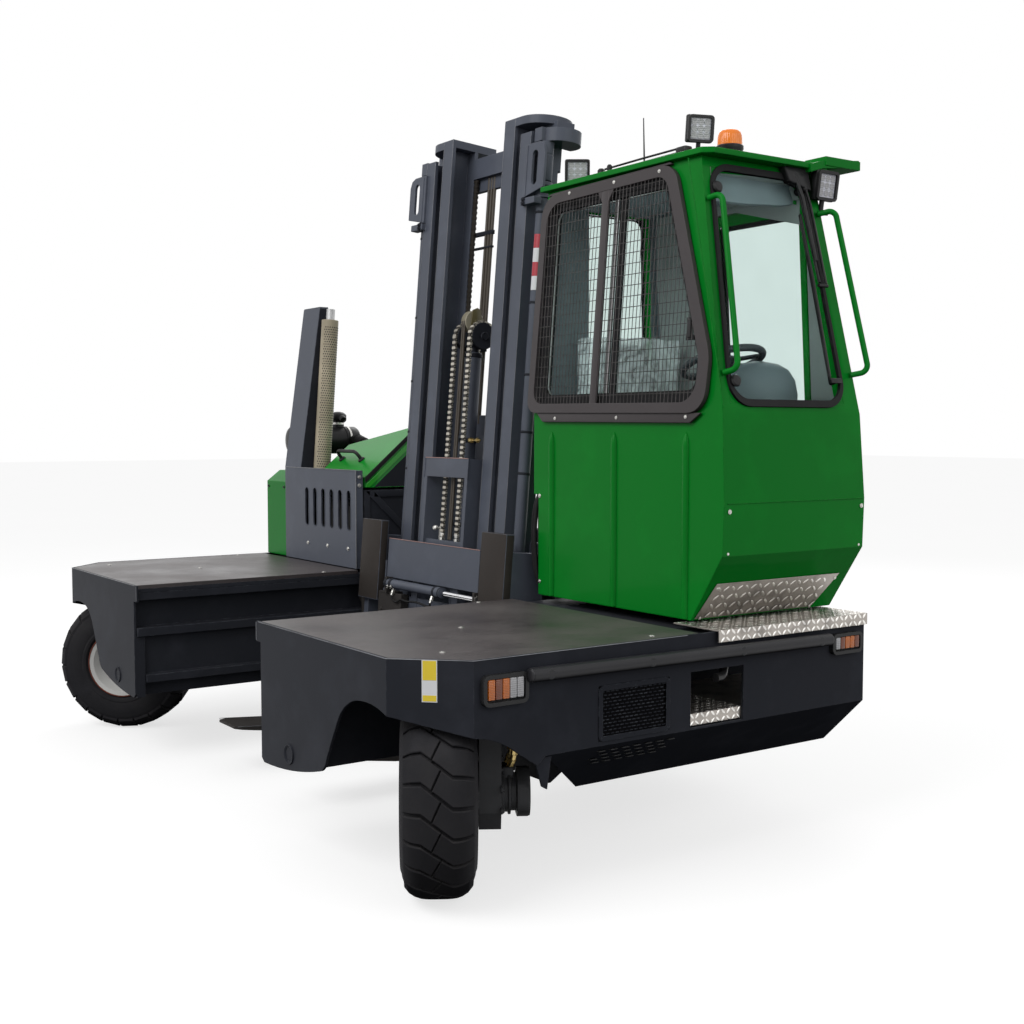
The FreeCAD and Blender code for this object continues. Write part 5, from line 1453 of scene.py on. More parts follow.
def roofDetails():
    workLamp("front_work_lamp", place(1.55, 1.425, roofTop + 0.098), -20, 0.044, first=True, size=0.88)
    workLamp("rear_work_lamp", place(0.8, 1.425, roofTop + 0.058), -35, 0.004, size=0.88)
    workLamp("door_work_lamp", place(1.694, 1.955, 2.513), 2, 0.048)
    # beacon: dark base with a lip, ribbed dome
    spot = place(1.49, 1.64, roofTop)
    base = Shape().lathe([(-0.002, 0.056), (0.008, 0.056), (0.012, 0.051), (0.05, 0.0505), (0.056, 0.0535),
        (0.068, 0.0535), (0.072, 0.05)], spot, (0, 0, 1), sides=40)
    base.make("beacon_base", "blackTrim", replaces=("beacon",))
    dome = Shape()
    rings = []
    count = lampDetail["beaconRibs"] * 4
    for z, radius in ((0.071, 0.0475), (0.09, 0.0468), (0.108, 0.0455), (0.12, 0.043), (0.127, 0.038),
            (0.1305, 0.028), (0.1315, 0.004)):
        ring = []
        for k in range(count):
            a = 2 * pi * k / count
            ridge = 1 + (0.018 if k % 4 < 2 and radius > 0.043 else 0.0)
            ring.append(spot + Vector((radius * ridge * cos(a), radius * ridge * sin(a), z)))
        rings.append(ring)
    dome.loft(rings)
    dome.make("beacon_dome", "beaconLens", smooth=50)
    # sockets and plates under the lamps
    feet = Shape().block(place(1.49, 1.36, roofTop), place(1.62, 1.49, roofTop + 0.006), bevel=0.002)
    feet.block(place(0.745, 1.37, roofTop), place(0.86, 1.47, roofTop + 0.006), bevel=0.002)
    feet.block(place(1.405, 1.56, roofTop - 0.001), place(1.575, 1.72, roofTop + 0.004), bevel=0.002)
    feet.make("roof_feet", "greenPaint")
    # wiper linkage of the roof window
    link = Shape()
    for x0, x1, dz in ((0.9, 1.4, 0.0), (0.93, 1.38, 0.016)):
        link.pipe(places((x0, 1.47, roofTop + 0.036 + dz), ((x0 + x1) / 2, 1.49, roofTop + 0.047 + dz),
            (x1, 1.51, roofTop + 0.056 + dz)), 0.0045, sides=8)
    link.lathe([(-0.04, 0.016), (0.01, 0.016), (0.018, 0.01)], place(0.905, 1.47, roofTop + 0.04), (0, 0, 1),
        sides=18)
    link.lathe([(-0.04, 0.011), (0.022, 0.011), (0.028, 0.006)], place(0.955, 1.474, roofTop + 0.04),
        (0, 0, 1), sides=18)
    link.block(place(1.34, 1.49, roofTop + 0.04), place(1.4, 1.53, roofTop + 0.074), bevel=0.008)
    link.block(place(0.88, 1.44, roofTop), place(1.0, 1.5, roofTop + 0.012), bevel=0.003)
    link.make("roof_wiper_linkage", "blackTrim")
    mast = Shape().lathe([(0.0, 0.018), (0.012, 0.016), (0.026, 0.007), (0.05, 0.004)],
        place(1.03, 1.6, roofTop), (0, 0, 1), sides=18)
    mast.drum(place(1.03, 1.6, roofTop + 0.03), place(1.022, 1.6, roofTop + 0.262), 0.0042, sides=8,
        endRadius=0.0022)
    mast.make("antenna", "blackTrim")
    screws = [(0.72, 1.36), (0.93, 1.36), (1.16, 1.36), (1.4, 1.36), (1.63, 1.37), (0.72, 1.92), (1.1, 1.92),
        (1.45, 1.92), (1.66, 1.64)]
    bolts("roof_screws", [place(x, y, roofTop + 0.0005) for x, y in screws], (0, 0, 1), 0.0055, height=0.0035,
        washer=0.01)
    seal = Shape()
    frameRing(seal, rounded(atZ(roofTop, rect(0.96, 1.5, 1.44, 1.85)), 0.04),
        rounded(atZ(roofTop, rect(0.998, 1.462, 1.478, 1.812)), 0.03), (0, 0, 0.008), bevel=0.002)
    seal.make("roof_glass_seal", "rubberBlack")
    # visor past the door side, folded like an open channel
    visor = Shape()
    outline = ((1.86, 2.585), (1.93, 2.606), (2.135, 2.628))
    rings = [places((1.708, y, z), (1.6, y, z + 0.004), (1.6, y, z - 0.024), (1.708, y, z - 0.03))
        for y, z in outline]
    visor.loft(rings, bevel=0.003)
    visor.make("roof_visor", "greenPaint")
    heads = places((1.69, 1.955, 2.6115), (1.64, 1.955, 2.6125), (1.66, 2.03, 2.62))
    bolts("visor_screws", heads, (0, 0, 1), 0.006, "brassFitting", height=0.005, washer=0.01)


roofDetails()
print("roof finished")


# engine side
engineDetail = {"holePitch": 0.0135, "holeRadius": 0.0036, "holeColumns": 9, "slotLip": 0.0018}


def guardAndPost():
    lines = [[place(-1.556, 1.1755, 1.3525), place(-0.728, 1.1755, 1.3525)],
        [place(-0.7275, 1.1755, 1.352), place(-0.7275, 1.1755, 0.846)]]
    wires("guard_bright_edge", lines, 0.0028, "edgeSteel", sides=6)
    spots = [place(x, 1.1755, 0.943) for x in (-1.284, -1.05, -0.816)]
    facings = [(0, -1, 0)] * 3
    for z in (1.318, 1.275):
        spots.append(place(-0.7278, 1.196, z))
        facings.append((1, 0, 0))
    bolts("guard_bolts", spots, facings, 0.0062, height=0.004, washer=0.0105)
    # thin lips around the slots
    lips = []
    for k in range(6):
        x = -1.295 + 0.0975 * k
        ring = []
        for z, start in ((1.226, 0.0), (1.06, pi)):
            ring += [place(x + 0.0215 * cos(start + a), 1.1755, z + 0.0215 * sin(start + a))
                for a in (pi * j / 8 for j in range(9))]
        lips.append(ring + ring[:1])
    wires("slot_lips", lips, engineDetail["slotLip"], "mastPaint", sides=5)
    # a dark sheet on the inner face of the leaning post, painted shade, and the post's top plate
    shade = Shape()
    edge = [(1.188, 0.848), (1.188, 1.352), (1.314, 2.236), (1.362, 2.236), (1.294, 1.354), (1.248, 0.848)]
    shade.slab(atX(-1.3895, edge), (0.0015, 0, 0))
    shade.make("post_inner_face", "slatePaint")
    cap = Shape().slab(atZ(2.2402, rect(-1.588, -1.392, 1.313, 1.366)), (0, 0, 0.004), bevel=0.0015)
    cap.make("post_cap", "mastPaint")


def exhaust():
    low, high = place(-1.34, 1.291, 1.338), place(-1.34, 1.352, 2.19)
    along = (high - low).normalized()
    guard = Shape().lathe([(-0.002, 0.0435), (0.0, 0.0465), (0.83, 0.0465), (0.832, 0.0435), (0.64, 0.043)],
        low, along, sides=48)
    side = Vector((-1, 0, 0))
    flange = [low + side * 0.046 + along * 0.004, low + side * 0.058 + along * 0.004,
        low + side * 0.058 + along * 0.828, low + side * 0.046 + along * 0.828]
    guard.slab(flange, (0, 0.004, 0))
    guard.make("exhaust_guard", "guardCream", replaces=("exhaust_stack",))
    # perforations drawn as dark discs: painted shade where the holes would show the shaded inside of the
    # guard
    spots, facings = [], []
    rows = int(0.79 / engineDetail["holePitch"])
    front = Vector((0, -1, 0)) + along * along.y
    across = Vector((1, 0, 0))
    for row in range(rows):
        for column in range(engineDetail["holeColumns"]):
            a = radians(28 + 15 * (column + 0.5 * (row % 2)))
            out = (front * cos(a) + across * sin(a)).normalized()
            spots.append(low + along * (0.02 + engineDetail["holePitch"] * row) + out * 0.0467)
            facings.append(tuple(out))
    hole = Shape().drum((0, 0, -0.0004), (0, 0, 0.0004), engineDetail["holeRadius"], sides=8)
    spread("exhaust_holes", hole, spots, facings, tuple(along), "blackTrim")
    pipe = Shape().lathe([(-0.018, 0.024), (0.882, 0.024), (0.892, 0.024), (0.892, 0.0215), (0.74, 0.0215)],
        low, along, sides=32)
    for s in (0.01, 0.815):
        pipe.lathe([(s, 0.0236), (s, 0.0432), (s + 0.004, 0.0432), (s + 0.004, 0.0236)], low, along, sides=32)
    pipe.make("exhaust_pipe", "windowAluminium")
    clamps = Shape()
    for s in (0.12, 0.42, 0.72):
        spot = low + along * s
        clamps.turnedBlock(spot + side * 0.056 + Vector((0, -0.004, 0)), (0.03, 0.014, 0.026),
            Matrix.Rotation(0, 3, "X"), bevel=0.003)
        clamps.drum(spot + side * 0.06 + Vector((0, -0.022, 0)), spot + side * 0.06 + Vector((0, 0.004, 0)),
            0.007, sides=6)
    clamps.make("exhaust_clamps", "blackTrim")


def airCleaner():
    body = Shape().lathe([(0.0, 0.03), (0.004, 0.055), (0.01, 0.073), (0.018, 0.08), (0.125, 0.08),
        (0.128, 0.0835), (0.139, 0.0835), (0.142, 0.079), (0.335, 0.079), (0.339, 0.0825), (0.347, 0.0825),
        (0.351, 0.079), (0.415, 0.079), (0.427, 0.072), (0.435, 0.046)], place(-1.68, 1.255, 1.5), (0, 1, 0),
        sides=48)
    body.drum(place(-1.68, 1.3, 1.428), place(-1.68, 1.292, 1.4), 0.018, sides=20, endRadius=0.012)
    for y in (1.38, 1.6):
        body.block(place(-1.73, y, 1.339), place(-1.63, y + 0.04, 1.44), bevel=0.006)
    body.make("air_cleaner_body", "blackTrim", replaces=("air_cleaner",), smooth=40)
    cap = Shape().lathe([(0.0, 0.036), (0.02, 0.033), (0.04, 0.033), (0.044, 0.046), (0.052, 0.049),
        (0.07, 0.049), (0.078, 0.044), (0.088, 0.03), (0.092, 0.01)], place(-1.68, 1.57, 1.575), (0, 0, 1),
        sides=40)
    cap.pipe(smoothLine(places((-1.665, 1.57, 1.628), (-1.63, 1.57, 1.628), (-1.612, 1.57, 1.618))), 0.019,
        sides=18)
    cap.make("rain_cap", "blackTrim", smooth=40)
    bend = Shape()
    path = smoothLine(places((-1.64, 1.64, 1.492), (-1.585, 1.64, 1.496), (-1.52, 1.64, 1.488),
        (-1.465, 1.642, 1.455), (-1.44, 1.645, 1.4), (-1.436, 1.646, 1.335)), 6)
    bend.pipe(path, 0.036, sides=20)
    for k in (2, 8, 14, 20, 25):
        way = (path[k + 1] - path[k - 1]).normalized()
        bend.lathe([(-0.005, 0.036), (-0.003, 0.0395), (0.003, 0.0395), (0.005, 0.036)], path[k], way,
            sides=24)
    bend.make("intake_hose", "rubberBlack", smooth=50)
    bands = Shape()
    for spot, way, radius in ((path[1], path[2] - path[0], 0.0385), (path[-3], path[-2] - path[-4], 0.0385),
            (place(-1.68, 1.57, 1.598), Vector((0, 0, 1)), 0.035),
            (place(-1.68, 1.4, 1.5), Vector((0, 1, 0)), 0.0815),
            (place(-1.68, 1.62, 1.5), Vector((0, 1, 0)), 0.0815)):
        bands.lathe([(-0.006, radius - 0.002), (-0.006, radius), (0.006, radius), (0.006, radius - 0.002)],
            spot, way, sides=36)
    bands.make("hose_bands", "boltZinc")


def hoodDetails():
    # strips along the sloping edge, a dark sheet of painted shade on the open side below them, loop handle
    edge = Shape().slab(atX(-0.7395, ((1.236, 1.286), (1.236, 1.318), (1.5525, 1.5865), (2.048, 1.5865),
        (2.048, 1.566), (1.56, 1.566))), (0.006, 0, 0), bevel=0.002)
    edge.make("hood_rubber_strip", "rubberBlack", "engine_hood")
    lip = Shape().slab(atX(-0.7395, ((1.262, 1.264), (1.56, 1.5165), (2.044, 1.5165), (2.044, 1.54),
        (1.55, 1.54), (1.24, 1.278), (1.24, 1.264))), (0.004, 0, 0), bevel=0.001, steps=1)
    lip.make("hood_green_strip", "brightGreen", "engine_hood")
    # dark sheet: painted shade where the open side of the hood shows its dark inside
    face = Shape().slab(atX(-0.7397, ((1.29, 1.266), (1.565, 1.498), (2.044, 1.498), (2.044, 1.266))),
        (0.0012, 0, 0))
    face.make("hood_side_face", "slatePaint", "engine_hood")
    handle = Shape()
    def hoodTop(x, y, out=0.0):
        share = (x + 1.278) / 0.538
        ridge = 1.316 + (y - 1.235) * 0.844
        return place(x, y, min(ridge, 1.478 + 0.106 * share) + out)
    ends = (hoodTop(-1.18, 1.335, 0.001), hoodTop(-0.96, 1.335, 0.001))
    rise = Vector((0, -0.035, 0.045))
    handle.pipe(rounded([ends[0], ends[0] + rise, ends[1] + rise, ends[1]], 0.03, closed=False), 0.0095,
        sides=12)
    for end in ends:
        handle.lathe([(0.0, 0.02), (0.006, 0.019), (0.01, 0.012)], end, (0, -0.645, 0.764), sides=20)
    handle.make("hood_handle", "blackTrim", "engine_hood")
    latch = Shape().slab(atY(1.2345, rect(-1.06, -0.99, 1.268, 1.305)), (0, -0.008, 0), bevel=0.003)
    latch.make("hood_latch", "blackTrim", "engine_hood")
    # side bay: brace and frame seen between the hood and the mast
    brace = Shape().slab(atX(-0.7415, ((1.232, 1.246), (1.285, 1.246), (1.64, 0.9), (1.59, 0.9))),
        (0.008, 0, 0), bevel=0.002)
    for y0, y1, z0, z1 in ((1.228, 1.262, 0.848, 1.248), (1.262, 2.038, 0.848, 0.888),
            (2.004, 2.038, 0.888, 1.248), (1.285, 2.004, 1.212, 1.248)):
        brace.block(place(-0.7415, y0, z0), place(-0.7335, y1, z1), bevel=0.002)
    brace.make("bay_frame", "slatePaint")
    spots = [place(-0.7332, y, z) for y in (1.245, 2.02) for z in (0.88, 1.05)]
    bolts("bay_bolts", spots, (1, 0, 0), 0.006, height=0.004, washer=0.01)
    # fixed cover: seams, screws, louvres on its rear and outer faces
    seams = [[place(-1.857, 1.3, 1.3), place(-1.857, 2.055, 1.318)],
        [place(-1.857, 1.62, 0.85), place(-1.857, 1.62, 1.3)]]
    wires("cover_seams", seams, 0.002, "blackTrim", sides=5)
    heads = [place(-1.8565, y, z) for y in (1.22, 1.6, 1.64, 2.035) for z in (0.875, 1.235)]
    heads += [place(x, 1.1955, 1.235) for x in (-1.835, -1.63)]
    bolts("cover_screws", heads, [(-1, 0, 0)] * 8 + [(0, -1, 0)] * 2, 0.005, "blackTrim", height=0.004,
        washer=0.009)
    louvre = Shape().slab([(-0.13, -0.006, 0), (0.13, -0.006, 0), (0.122, 0.004, 0.011),
        (-0.122, 0.004, 0.011)], (0, 0.003, -0.003), bevel=0.001, steps=1)
    spots = [place(-1.8565, y, 0.93 + 0.035 * k) for y in (1.41, 1.84) for k in range(8)]
    spread("cover_louvres", louvre, spots, (-1, 0, 0), (0, 1, 0), "greenPaint")
    rear = [place(x, 2.0605, 0.93 + 0.035 * k) for x in (-1.7, -1.42) for k in range(9)]
    louvre = Shape().slab([(-0.11, -0.006, 0), (0.11, -0.006, 0), (0.102, 0.004, 0.01),
        (-0.102, 0.004, 0.01)], (0, 0.003, -0.003), bevel=0.001, steps=1)
    spread("cover_rear_louvres", louvre, rear, (0, 1, 0), (1, 0, 0), "greenPaint")
    grip = Shape().lathe([(0.0, 0.022), (0.006, 0.022), (0.009, 0.014)], place(-1.8565, 1.225, 1.06),
        (-1, 0, 0), sides=24)
    grip.make("cover_lock", "blackTrim")


def engineInside():
    # a few castings and hoses under the hood, seen when it stands open
    parts = Shape().block(place(-1.24, 1.42, 1.178), place(-0.96, 1.92, 1.232), bevel=0.012)
    parts.block(place(-1.52, 1.4, 1.178), place(-1.3, 1.88, 1.215), bevel=0.012)
    for y in (1.5, 1.62, 1.74, 1.86):
        parts.drum(place(-1.1, y, 1.228), place(-1.1, y, 1.246), 0.022, sides=18, bevel=0.003)
    parts.make("engine_covers", "engineIron")
    pipes = [smoothLine(places((-0.94, 1.45, 1.19), (-0.9, 1.5, 1.21), (-0.88, 1.7, 1.16),
        (-0.9, 1.92, 1.1))), smoothLine(places((-1.28, 1.36, 1.19), (-1.22, 1.33, 1.21), (-1.1, 1.325, 1.17),
        (-0.95, 1.34, 1.12)))]
    wires("engine_hoses", pipes, 0.014, "rubberBlack", sides=10)


guardAndPost()
exhaust()
airCleaner()
hoodDetails()
engineInside()
print("engine side finished")


# mast, chains, carriage
# uprights are given as if the mast stood plumb; mastMatrix leans them
tubeX, tubeY = 0.495, 1.29      # lift tubes
chainX, ramY = 0.065, 1.3       # chains, and the cylinder between them
mastDetail = {"chainPitch": 0.0127, "hose": 0.0062, "wheelRadius": 0.058, "tapeStep": 0.062}


def chainHead():
    matrix = mastMatrix()
    head = Shape(matrix)
    head.drum(place(0, ramY, 1.93), place(0, ramY, 1.985), 0.026, sides=28)
    head.block(place(-0.044, 1.272, 1.955), place(0.044, 1.328, 2.03), bevel=0.006)
    head.drum(place(-0.094, ramY, 2.005), place(0.094, ramY, 2.005), 0.016, sides=24, bevel=0.003)
    for s in (-1, 1):
        head.lathe([(0.0, 0.03), (0.0, 0.062), (0.004, 0.064), (0.008, mastDetail["wheelRadius"]),
            (0.026, mastDetail["wheelRadius"]), (0.03, 0.064), (0.034, 0.062), (0.034, 0.03)],
            place(s * chainX - 0.017, ramY, 2.005), (1, 0, 0), sides=40)
    head.make("chain_crosshead", "slatePaint", "chain_head", ("chain_head",), smooth=40)
    ram = Shape(matrix)
    ram.drum(place(0, ramY, 1.02), place(0, ramY, 1.975), 0.0235, sides=28)
    ram.make("free_lift_ram", "chromeRod", "chain_head")
    pulley = Shape(matrix)
    pulley.lathe([(0.0, 0.014), (0.0, 0.05), (0.004, 0.053), (0.007, 0.044), (0.016, 0.044), (0.02, 0.053),
        (0.023, 0.044), (0.032, 0.044), (0.036, 0.053), (0.04, 0.05), (0.04, 0.014)],
        place(-0.03, 1.29, 2.075), (1, 0, 0), sides=40)
    pulley.make("hose_pulley", "beigePulley", "chain_head", smooth=40)
    bracket = Shape(matrix)
    bracket.slab(atX(0.014, ((1.262, 2.015), (1.322, 2.015), (1.318, 2.13), (1.296, 2.142), (1.268, 2.128))),
        (0.006, 0, 0), bevel=0.002)
    bracket.drum(place(-0.036, 1.29, 2.075), place(0.03, 1.29, 2.075), 0.009, sides=18, bevel=0.002)
    bracket.make("pulley_bracket", "oliveZinc", "chain_head")
    # chain laid over the wheels, with the start of the strands behind
    top = mastDetail["wheelRadius"] + 0.008
    points, edges = [], []
    for s in (-1, 1):
        first = len(points)
        arc = [place(s * chainX, ramY - top * cos(a), 2.005 + top * sin(a))
            for a in (pi * k / 14 for k in range(15))]
        arc.append(place(s * chainX, ramY + top, 1.93))
        points += [matrix @ p for p in arc]
        edges += [(first + k, first + k + 1) for k in range(len(arc) - 1)]
    chainPiece("chain_over_wheels", "chain_head", points, edges)


def chainPiece(name, body, points, edges, replaces=(), finish="chainSteel"):
    # bright outer plates, then the inner ones between them in a dark copy of the chain steel: painted shade
    # between the plates
    made = []
    for part, material, inner in (("", finish, False), ("_inner", "chainPaintedShade", True)):
        mesh = grown("chain", carrierMesh(points, edges),
            {"Pitch": mastDetail["chainPitch"], "Wide": (0.026, 0.0135, 0.0128),
            "Narrow": (0.019, 0.0115, 0.015), "Pin": 0.003, "Inner": inner}, material)
        shadeByAngle(mesh)
        made.append(finishPiece(name + part, mesh, material, body, () if inner else replaces))
    return made


def chainStrands():
    # front strands, carried by the carriage
    matrix = mastMatrix()
    y = ramY - mastDetail["wheelRadius"] - 0.008
    points = [matrix @ place(s * chainX, y, z) for s in (-1, 1) for z in (1.05, 2.0)]
    strands = chainPiece("front_chains", "fork_carriage", points, [(0, 1), (2, 3)], ("lift_chains",))
    for strand in strands:
        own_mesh(strand)
    lines = [places((x, 1.243, 1.035), (x, 1.243, 1.5), (x, 1.243, 2.075)) for x in (-0.0185, -0.0025)]
    hoses = wires("carriage_hoses", lines, mastDetail["hose"], "hoseBrown", sides=8, matrix=matrix,
        body="fork_carriage")
    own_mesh(hoses)
    anchors = Shape(matrix)
    for s in (-1, 1):
        spot = place(s * chainX, y, 1.0)
        anchors.drum(spot + Vector((0, 0, -0.02)), spot + Vector((0, 0, 0.052)), 0.0065, sides=16)
        for z in (0.016, 0.03):
            anchors.drum(spot + Vector((0, 0, z)), spot + Vector((0, 0, z + 0.01)), 0.0135, sides=6,
                bevel=0.0015)
        anchors.block(spot + Vector((-0.011, -0.008, 0.042)), spot + Vector((0.011, 0.008, 0.066)),
            bevel=0.003)
        anchors.drum(spot + Vector((-0.018, 0, 0.058)), spot + Vector((0.018, 0, 0.058)), 0.005, sides=12)
    anchors.lathe([(0.0, 0.006), (0.004, 0.012), (0.014, 0.013), (0.02, 0.008)],
        place(-0.112, y - 0.002, 1.085), (0, -1, 0), sides=18)
    anchors.drum(place(-0.112, y + 0.02, 1.085), place(-0.112, y, 1.085), 0.005, sides=10)
    anchors.block(place(-0.12, y + 0.012, 1.03), place(-0.104, y + 0.02, 1.095), bevel=0.002)
    anchors.make("chain_anchors", "boltZinc", "fork_carriage")


def mastDetails():
    matrix = mastMatrix()
    # bands and marker tape of the lift tubes
    bands = Shape(matrix)
    for s in (-1, 1):
        for z in (0.9, 1.36, 1.545, 1.8, 2.12, 2.52):
            bands.lathe([(0.0, 0.0272), (0.002, 0.029), (0.01, 0.029), (0.012, 0.0272)],
                place(s * tubeX, tubeY, z), (0, 0, 1), sides=32)
        bands.lathe([(0.0, 0.0385), (0.006, 0.04), (0.016, 0.04), (0.02, 0.0385)],
            place(s * tubeX, tubeY, 2.625), (0, 0, 1), sides=32)
    bands.make("tube_bands", "slatePaint", "outer_mast")
    for name, material, start in (("tape_red", "tapeRed", 1), ("tape_white", "labelWhite", 0)):
        tape = Shape(matrix)
        for k in range(start, 4, 2):
            z = 2.18 + mastDetail["tapeStep"] * k
            arc = [place(tubeX + 0.0278 * sin(a), tubeY - 0.0278 * cos(a), z)
                for a in (radians(-10 + 9 * j) for j in range(9))]
            rise = Vector((0, 0, mastDetail["tapeStep"]))
            tape.loft([[p, p + rise, p + rise + (p - place(tubeX, tubeY, z)) * 0.02,
                p + (p - place(tubeX, tubeY, z)) * 0.02] for p in arc])
        tape.make(name, material, "outer_mast")
    # posts beside the mast wear their own dark coat
    posts = Shape(matrix)
    for s in (-1, 1):
        low, high = place(s * 0.4485, 1.1155, 0.7005), place(s * 0.6425, 1.1605, 1.0985)
        posts.block((min(low.x, high.x), low.y, low.z), (max(low.x, high.x), high.y, high.z), bevel=0.006)
    posts.make("mast_posts", "postBrown", "outer_mast")
    # bolts of the eye plates, clamps and feet
    spots, facings = [], []
    for s in (-1, 1):
        for z in (2.563, 2.579):
            spots.append(place(s * 0.448, 1.2182, z))
            facings.append((0, -1, 0))
        for z in (0.42, 0.48):
            spots.append(place(s * 0.643, 1.345, z))
            facings.append((s, 0, 0))
        for z in (0.6, 0.66, 1.53, 1.61, 2.77, 2.85):
            for x in (0.34, 0.41):
                spots.append(place(s * x, 1.4155, z))
                facings.append((0, 1, 0))
    bolts("mast_bolts", spots, facings, 0.0075, "slatePaint", height=0.006, washer=0.012, matrix=matrix,
        body="outer_mast")
    beads = []
    for s in (-1, 1):
        beads.append([place(s * 0.446, 1.2265, z) for z in (2.6, 2.82)])
        beads.append([place(s * 0.446, 1.2875, z) for z in (0.4, 0.5)])
        for z in (0.56, 0.7, 1.5, 1.64, 2.74, 2.88):
            beads.append([place(s * 0.44, 1.4155, z), place(s * 0.02, 1.4155, z)])
    wires("mast_welds", beads, 0.0032, "mastPaint", sides=6, matrix=matrix, body="outer_mast")
    # worn running edges of the rails
    lines = [[place(s * x, 1.2405, z) for z in (0.35, 2.885)] for s in (-1, 1) for x in (0.366, 0.4445)]
    wires("outer_rail_edges", lines, 0.0012, "edgeSteel", sides=4, matrix=matrix, body="outer_mast")
    lines = [[place(s * x, 1.2465, z) for z in (0.36, 2.97)] for s in (-1, 1) for x in (0.223, 0.3045)]
    wires("inner_rail_edges", lines, 0.0012, "edgeSteel", sides=4, matrix=matrix, body="inner_mast")
    # hoses up to the top of the inner mast, with their brackets
    lines = [smoothLine([place(x, 1.405, z) for z in (1.6, 2.1, 2.5, 2.86)]) for x in (-0.118, -0.094, -0.07)]
    wires("mast_hoses", lines, 0.0085, "hoseBrown", sides=10, matrix=matrix, body="inner_mast")
    holders = Shape(matrix)
    for z, thick in ((2.52, 0.02), (2.455, 0.01), (1.95, 0.012)):
        holders.block(place(-0.24, 1.3955, z), place(-0.055, 1.4125, z + thick), bevel=0.002)
    holders.make("hose_brackets", "slatePaint", "inner_mast")
    # strands that run up beside the rails at the back
    points = [matrix @ place(s * 0.206, 1.3865, z) for s in (-1, 1) for z in (1.56, 2.79)]
    # these strands take the dark copy of the chain steel: painted shade behind the rails
    chainPiece("rear_chains", "inner_mast", points, [(0, 1), (2, 3)], finish="chainPaintedShade")
    fittings = Shape(matrix)
    for x0, x1, radius in ((0.044, 0.062, 0.012), (0.062, 0.074, 0.009), (0.1, 0.116, 0.011)):
        fittings.drum(place(x0, 1.286, 1.512), place(x1, 1.286, 1.512), radius, sides=6, bevel=0.001)
    fittings.drum(place(0.04, 1.286, 1.512), place(0.13, 1.286, 1.512), 0.005, sides=12)
    fittings.make("cylinder_fittings", "brassFitting", "inner_mast")
    collar = Shape(matrix)
    for z in (0.42, 1.1, 1.5, 1.905):
        collar.lathe([(0.0, 0.0402), (0.003, 0.043), (0.018, 0.043), (0.021, 0.0402)], place(0, ramY, z),
            (0, 0, 1), sides=36)
    collar.make("cylinder_collars", "slatePaint", "inner_mast")
    # polished rams with their painted heads under the inner mast's ears
    rams, heads = Shape(matrix), Shape(matrix)
    for s in (-1, 1):
        rams.drum(place(s * tubeX, tubeY, 0.6), place(s * tubeX, tubeY, 2.69), 0.018, sides=28)
        heads.lathe([(0.0, 0.019), (0.0, 0.034), (0.004, 0.036), (0.11, 0.036), (0.112, 0.0345),
            (0.118, 0.0345), (0.12, 0.036), (0.1715, 0.036), (0.1715, 0.019)], place(s * tubeX, tubeY, 2.666),
            (0, 0, 1), sides=36)
    rams.make("lift_ram_rods", "chromeRod", "inner_mast", ("lift_rams",))
    heads.make("lift_ram_heads", "mastPaint", "inner_mast")
    tags = Shape(matrix)
    tags.block(place(0.5075, 1.2515, 2.715), place(0.5195, 1.2535, 2.74), bevel=0.0005, steps=1)
    tags.make("ram_tag", "labelYellow", "inner_mast")


